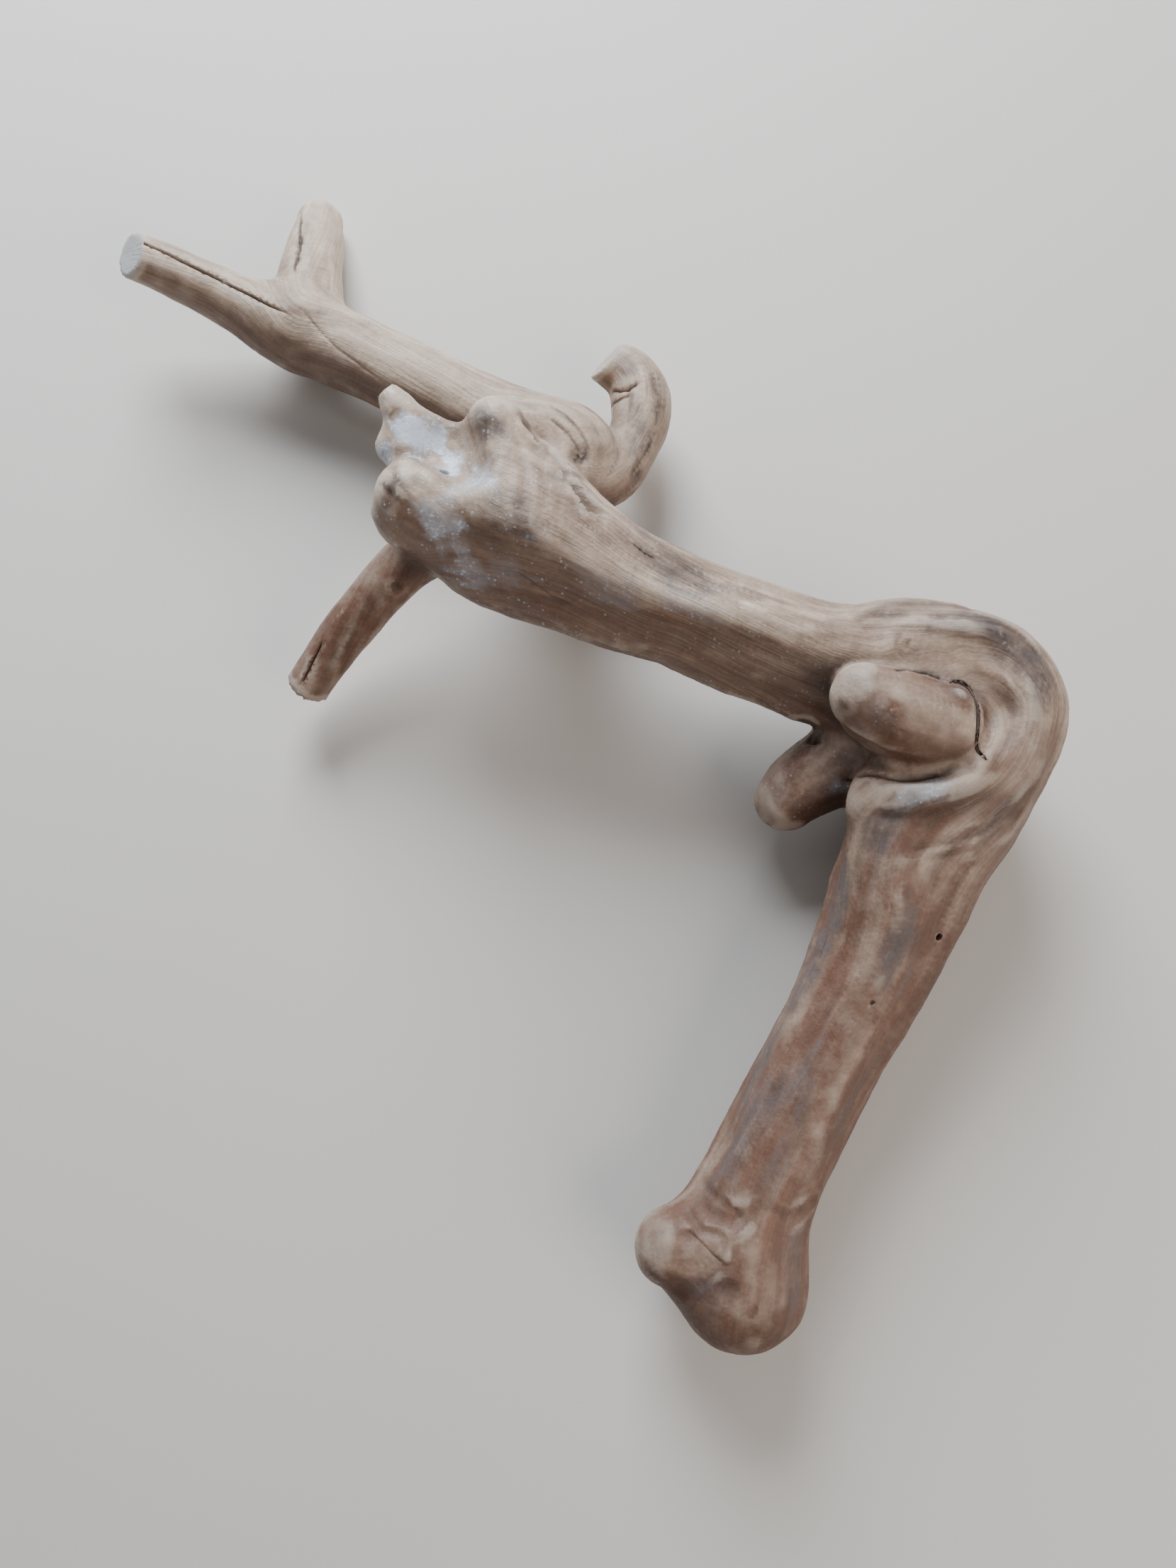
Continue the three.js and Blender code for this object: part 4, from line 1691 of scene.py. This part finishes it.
class Mask(Enum):
    """Where each mask of the skin is stored: attribute and channel."""

    WARM = ("tint", "Red")
    RUST = ("tint", "Green")
    ASH = ("tint", "Blue")
    DARK = ("tint", "Alpha")
    GRAIN = ("skin", "Red")
    WAX = ("skin", "Green")
    UNDER = ("skin", "Blue")
    CRACK = ("skin", "Alpha")
    EDGE = ("worn", "Red")
    FROST = ("worn", "Green")
    SURE = ("worn", "Blue")
    SAWN = ("worn", "Alpha")


class Graph:
    """A node tree that is wired in few words."""

    def __init__(self, tree: bpy.types.NodeTree) -> None:
        """Take over a node tree."""
        self.tree = tree

    def add(self, kind: str, **settings: object) -> bpy.types.Node:
        """Add a node.

        Args:
            kind: The node's type.
            settings: Its properties.

        Returns:
            The node.
        """
        node = self.tree.nodes.new(kind)
        for name, value in settings.items():
            setattr(node, name, value)
        return node

    def put(self, target: bpy.types.NodeSocket, value: object) -> None:
        """Set a socket's value, or link it to another socket.

        Args:
            target: The socket to feed.
            value: A socket or a constant.
        """
        if isinstance(value, bpy.types.NodeSocket):
            self.tree.links.new(value, target)
        else:
            target.default_value = value

    def math(self, work: str, *values: object) -> bpy.types.NodeSocket:
        """Work on values.

        Args:
            work: The operation.
            values: Sockets or constants.

        Returns:
            The result.
        """
        node = self.add("ShaderNodeMath", operation=work)
        for socket, value in zip(node.inputs, values):
            self.put(socket, value)
        return node.outputs[0]

    def mix(
        self, share: object, first: object, second: object, blend: str = "MIX"
    ) -> bpy.types.NodeSocket:
        """Mix two colours.

        Args:
            share: How much of the second.
            first: One colour.
            second: The other.
            blend: How they are mixed.

        Returns:
            The mixed colour.
        """
        node = self.add("ShaderNodeMix", data_type="RGBA", blend_type=blend)
        self.put(node.inputs[0], share)
        self.put(node.inputs[6], first)
        self.put(node.inputs[7], second)
        return node.outputs[2]

    def span(
        self, value: object, low: float, high: float, first: float, last: float
    ) -> bpy.types.NodeSocket:
        """Map a value's range to another.

        Args:
            value: The value.
            low: Start of its range.
            high: End of its range.
            first: Result at the start.
            last: Result at the end.

        Returns:
            The mapped value.
        """
        node = self.add("ShaderNodeMapRange", interpolation_type="SMOOTHSTEP")
        for socket, given in zip(node.inputs, (value, low, high, first, last)):
            self.put(socket, given)
        return node.outputs[0]

    def times(self, first: object, second: object) -> bpy.types.NodeSocket:
        """Multiply two values."""
        return self.math("MULTIPLY", first, second)

    def noise(
        self, vector: object, scale: float, detail: float, rough: float = 0.5
    ) -> bpy.types.NodeSocket:
        """Add soft noise.

        Args:
            vector: Where it is sampled.
            scale: How fine it is.
            detail: Layers of finer noise.
            rough: Strength of the finer layers.

        Returns:
            The noise's value.
        """
        node = self.add("ShaderNodeTexNoise")
        self.put(node.inputs["Vector"], vector)
        self.put(node.inputs["Scale"], scale)
        self.put(node.inputs["Detail"], detail)
        self.put(node.inputs["Roughness"], rough)
        return node.outputs[0]


def fibre_group() -> bpy.types.NodeTree:
    """Make the shared group that draws fine lines along the fibres.

    Returns:
        The group: from the measure across the fibres, and a place, to lines and hairline splits.
    """
    group = bpy.data.node_groups.new("fine_fibres", "ShaderNodeTree")
    for name, way, kind in (
        ("Across", "INPUT", "NodeSocketFloat"),
        ("Place", "INPUT", "NodeSocketVector"),
        ("Lines", "OUTPUT", "NodeSocketFloat"),
        ("Splits", "OUTPUT", "NodeSocketFloat"),
    ):
        group.interface.new_socket(name, in_out=way, socket_type=kind)
    graph = Graph(group)
    inlet, outlet = graph.add("NodeGroupInput"), graph.add("NodeGroupOutput")
    place = graph.add("ShaderNodeSeparateXYZ")
    graph.put(place.inputs[0], inlet.outputs[1])
    for target, across, along, detail in ((0, 0.85, 26.0, 4.0), (1, 0.6, 42.0, 2.0)):
        spot = graph.add("ShaderNodeCombineXYZ")
        graph.put(spot.inputs[0], graph.times(inlet.outputs[0], across))
        graph.put(spot.inputs[1], graph.times(place.outputs[0], along))
        graph.put(spot.inputs[2], graph.times(place.outputs[1], along))
        graph.put(outlet.inputs[target], graph.noise(spot.outputs[0], 1.0, detail, 0.62))
    return group


class DryWood:
    """The finish of bare dry wood, weathered along its fibres, with painted shade, a painted sheen
    and painted glints.
    """

    def __init__(self, finish: WoodFinish) -> None:
        """Build the material.

        Args:
            finish: Colours and gloss.
        """
        self.finish = finish
        self.material = bpy.data.materials.new("dry_wood")
        self.material.use_nodes = True
        self.material.node_tree.nodes.clear()
        self.graph = Graph(self.material.node_tree)
        self.sources = {
            name: self.graph.add("ShaderNodeAttribute", attribute_name=name)
            for name in ("tint", "skin", "worn")
        }
        self.parts = {name: self._parts(node) for name, node in self.sources.items()}
        self._wire()

    def _parts(self, node: bpy.types.Node) -> bpy.types.Node:
        """Split an attribute's colour.

        Args:
            node: The attribute.

        Returns:
            The splitting node.
        """
        split = self.graph.add("ShaderNodeSeparateColor")
        self.graph.put(split.inputs[0], node.outputs["Color"])
        return split

    def mask(self, mask: Mask) -> bpy.types.NodeSocket:
        """Read one mask of the skin.

        Args:
            mask: Which one.

        Returns:
            Its value.
        """
        name, channel = mask.value
        if channel == "Alpha":
            return self.sources[name].outputs["Alpha"]
        return self.parts[name].outputs[channel]

    def _wire(self) -> None:
        """Wire colour, gloss and relief."""
        g, finish = self.graph, self.finish
        fibre = g.add("ShaderNodeSeparateXYZ")
        place = g.add("ShaderNodeAttribute", attribute_name="fibre_place")
        g.put(fibre.inputs[0], place.outputs["Vector"])
        across, rings, streak = fibre.outputs
        where = g.add("ShaderNodeTexCoord").outputs["Object"]
        fibres = g.add("ShaderNodeGroup", node_tree=fibre_group())
        g.put(fibres.inputs[0], across)
        g.put(fibres.inputs[1], where)
        lines, splits = fibres.outputs
        mottle = g.noise(where, finish.mottle_scale, 5.0, 0.62)
        grit = g.noise(where, finish.grit_scale, 3.0, 0.6)
        open_grain = g.times(self.mask(Mask.GRAIN), self.mask(Mask.SURE))
        glints = self._glints(where)
        colour = self._colour(lines, splits, streak, mottle, grit, open_grain)
        colour = self._sawn(colour, rings, mottle)
        # Painted glints: the specks take the bright colour of the painted sheen.
        colour = g.mix(glints, colour, finish.painted_sheen)
        # Painted shade: the crack's walls are painted near black.
        colour = g.mix(self.mask(Mask.CRACK), colour, finish.crack)
        gloss = g.span(self.mask(Mask.WAX), 0.1, 0.9, finish.dry_roughness, finish.waxed_roughness)
        rough = g.math("ADD", gloss, g.span(grit, 0.3, 0.7, -0.09, 0.1))
        rough = g.math("MAXIMUM", rough, self.mask(Mask.CRACK))
        height = g.times(lines, open_grain)
        height = g.math("ADD", height, g.times(mottle, 0.8))
        height = g.math("ADD", height, g.times(grit, 0.4))
        height = g.math("ADD", height, g.times(glints, 0.3))
        bump = g.add("ShaderNodeBump")
        bump.inputs["Strength"].default_value = finish.relief_strength
        bump.inputs["Distance"].default_value = finish.relief_depth
        g.put(bump.inputs["Height"], height)
        wood = g.add("ShaderNodeBsdfPrincipled")
        g.put(wood.inputs["Base Color"], colour)
        g.put(wood.inputs["Roughness"], rough)
        g.put(wood.inputs["Normal"], bump.outputs[0])
        wood.inputs["Specular IOR Level"].default_value = finish.specular
        g.put(g.add("ShaderNodeOutputMaterial").inputs[0], wood.outputs[0])

    def _colour(
        self,
        lines: object,
        splits: object,
        streak: object,
        mottle: object,
        grit: object,
        open_grain: object,
    ) -> bpy.types.NodeSocket:
        """Layer the colours of the weathered wood, with its painted shade and painted sheen.

        Args:
            lines: Fine fibre lines.
            splits: Hairline splits.
            streak: Soft streaks along the fibres.
            mottle: Soft cloudy noise.
            grit: Fine noise.
            open_grain: How open the grain is.

        Returns:
            The wood's colour.
        """
        g, f = self.graph, self.finish
        cloud = g.span(mottle, 0.25, 0.75, -0.14, 0.14)
        warm = g.math("ADD", self.mask(Mask.WARM), cloud)
        colour = g.mix(warm, f.pale, f.warm)
        colour = g.mix(g.times(self.mask(Mask.RUST), 0.8), colour, f.rust)
        ashen = g.times(self.mask(Mask.ASH), g.span(mottle, 0.3, 0.62, 0.45, 1.0))
        colour = g.mix(ashen, colour, f.ash)
        # Painted shade: the faces turned away from the key light take the darker under colour.
        colour = g.mix(g.times(self.mask(Mask.UNDER), 0.72), colour, f.under)
        colour = g.mix(1.0, colour, g.span(streak, -2.0, 2.0, 0.86, 1.12), "MULTIPLY")
        colour = g.mix(1.0, colour, g.span(grit, 0.3, 0.7, 0.93, 1.05), "MULTIPLY")
        lined = g.mix(1.0, colour, g.span(lines, 0.32, 0.68, 0.7, 1.16), "MULTIPLY")
        colour = g.mix(open_grain, colour, lined)
        cracked = g.math("ADD", g.times(self.mask(Mask.ASH), 0.6), g.times(open_grain, 0.25))
        hair = g.times(g.span(splits, 0.64, 0.74, 0.0, 1.0), self.mask(Mask.SURE))
        colour = g.mix(g.times(hair, cracked), colour, f.dark)
        colour = g.mix(g.span(self.mask(Mask.EDGE), 0.62, 0.95, 0.0, 0.35), colour, f.worn)
        # Painted sheen: specks and soft clouds of a blue-white painted reflection where the sheen
        # patches lie.
        speckle = g.math("ADD", mottle, g.times(grit, 1.4))
        painted_sheen = self.mask(Mask.FROST)
        speckled_sheen = g.math("ADD", painted_sheen, g.span(speckle, 0.8, 1.6, -0.32, 0.32))
        touched = g.span(painted_sheen, 0.0, 0.2, 0.0, 1.0)
        specks = g.times(g.span(speckled_sheen, 0.45, 0.95, 0.0, 0.9), touched)
        cloudy = g.span(mottle, 0.3, 0.65, 0.4, 0.85)
        soft_sheen = g.times(g.span(painted_sheen, 0.15, 1.0, 0.0, 1.0), cloudy)
        colour = g.mix(g.math("MAXIMUM", specks, soft_sheen), colour, f.painted_sheen)
        # Painted shade of recesses, grooves and holes, with stains and rot, darkens the colour
        # last.
        return g.mix(self.mask(Mask.DARK), colour, f.dark)

    def _glints(self, where: object) -> bpy.types.NodeSocket:
        """Scatter small painted glints, bright specks of painted highlight, where the skin is
        waxed.

        Args:
            where: The place on the skin.

        Returns:
            A mask of the specks.
        """
        g = self.graph
        cells = g.add("ShaderNodeTexVoronoi")
        g.put(cells.inputs["Vector"], where)
        cells.inputs["Scale"].default_value = self.finish.glint_scale
        dots = g.span(cells.outputs["Distance"], 0.2, 0.36, 1.0, 0.0)
        chance = g.add("ShaderNodeSeparateColor")
        g.put(chance.inputs[0], cells.outputs["Color"])
        kept = g.span(chance.outputs[0], 0.55, 0.7, 0.0, 1.0)
        waxed = g.span(self.mask(Mask.WAX), 0.18, 0.7, 0.0, 0.9)
        clumps = g.span(g.noise(where, 90.0, 3.0), 0.45, 0.62, 0.0, 1.0)
        return g.times(g.times(dots, kept), g.times(waxed, clumps))

    def _sawn(self, colour: object, rings: object, mottle: object) -> bpy.types.NodeSocket:
        """Draw year rings on the sawn ends.

        Args:
            colour: The colour of the skin.
            rings: Distance from the pith.
            mottle: Soft cloudy noise.

        Returns:
            The colour with its sawn ends.
        """
        g = self.graph
        turns = g.math("ADD", g.times(rings, self.finish.ring_waves), g.times(mottle, 5.0))
        wave = g.math("SINE", turns)
        shade = g.mix(1.0, self.finish.sawn, g.span(wave, -1.0, 1.0, 0.86, 1.04), "MULTIPLY")
        pith = g.span(rings, 0.7, 1.5, 0.8, 0.0)
        shade = g.mix(pith, shade, self.finish.dark)
        return g.mix(self.mask(Mask.SAWN), colour, shade)


@dataclass(frozen=True)
class SoftLamp:
    """A soft rectangular lamp that is aimed at the root."""

    name: str
    place: Triple
    size: float
    power: float
    colour: Triple

    def light(self) -> None:
        """Put the lamp in the scene."""
        data = bpy.data.lights.new(self.name, "AREA")
        data.size = self.size
        data.energy = self.power
        data.color = self.colour
        lamp = bpy.data.objects.new(self.name, data)
        lamp.location = self.place
        aim = Vector((0.0, 0.0, 0.05)) - Vector(self.place)
        lamp.rotation_euler = aim.to_track_quat("-Z", "Y").to_euler()
        bpy.context.scene.collection.objects.link(lamp)


@dataclass(frozen=True)
class Studio:
    """The pale floor, soft light and the camera that looks down on the root."""

    focal_px: float = 1660.0
    image_px: float = 2212.0
    sensor: float = 36.0
    elevation: float = 81.0
    range_mm: float = 714.0
    aim_mm: Triple = (0.0, 0.0, 60.0)
    floor_half: float = 6.0
    glow: float = 0.22
    lamps: tuple[SoftLamp, ...] = (
        SoftLamp("key", (-0.3, 1.6, 1.05), 1.0, 62.0, (0.9, 0.95, 1.0)),
        SoftLamp("fill", (1.4, -1.0, 1.3), 1.4, 22.0, (1.0, 0.88, 0.78)),
    )

    def build(self) -> None:
        """Make the floor, the lamps, the sky's glow and the camera."""
        self._floor()
        for lamp in self.lamps:
            lamp.light()
        world = bpy.data.worlds.new("studio")
        bpy.context.scene.world = world
        world.use_nodes = True
        sky = world.node_tree.nodes["Background"]
        sky.inputs[0].default_value = (0.95, 0.97, 1.0, 1.0)
        sky.inputs[1].default_value = self.glow
        self._camera()

    def _floor(self) -> None:
        """Lay a plain pale floor."""
        form = bmesh.new()
        bmesh.ops.create_grid(form, x_segments=1, y_segments=1, size=self.floor_half)
        mesh = bpy.data.meshes.new("floor")
        form.to_mesh(mesh)
        form.free()
        floor = bpy.data.objects.new("floor", mesh)
        bpy.context.scene.collection.objects.link(floor)
        material = bpy.data.materials.new("pale_floor")
        material.use_nodes = True
        graph = Graph(material.node_tree)
        plain = material.node_tree.nodes["Principled BSDF"]
        where = graph.add("ShaderNodeTexCoord").outputs["Object"]
        cloudy = graph.noise(where, 3.0, 3.0)
        colour = graph.mix(cloudy, tint(226, 223, 218), tint(232, 229, 225))
        graph.put(plain.inputs["Base Color"], colour)
        plain.inputs["Roughness"].default_value = 0.85
        mesh.materials.append(material)

    def _camera(self) -> None:
        """Set the camera where the root is seen from."""
        tilt = math.radians(self.elevation)
        back = np.array([0.0, -math.cos(tilt), math.sin(tilt)])
        place = to_part(np.array(self.aim_mm) + self.range_mm * back)
        data = bpy.data.cameras.new("camera")
        data.sensor_width = self.sensor
        data.lens = self.sensor * (self.focal_px / self.image_px)
        camera = bpy.data.objects.new("camera", data)
        camera.location = place
        camera.rotation_euler = (-Vector(back)).to_track_quat("-Z", "Y").to_euler()
        bpy.context.scene.collection.objects.link(camera)
        bpy.context.scene.camera = camera


class DryRoot:
    """The finished root: its skin, with its finish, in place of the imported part."""

    def build(self) -> bpy.types.Object:
        """Grow the skin and finish it.

        Returns:
            The visible piece.
        """
        skin = Skin(Skeleton())
        skin.finish().write(skin.mesh)
        skin.mesh.materials.clear()
        skin.mesh.materials.append(DryWood(WoodFinish()).material)
        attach(skin.piece, "root")
        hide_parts(NODE)
        LOG.info("%s: %d triangles", skin.piece.name, len(skin.mesh.polygons))
        return skin.piece


def main() -> None:
    """Build the root and its studio."""
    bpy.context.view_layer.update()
    DryRoot().build()
    Studio().build()


if __name__ == "__main__":
    main()
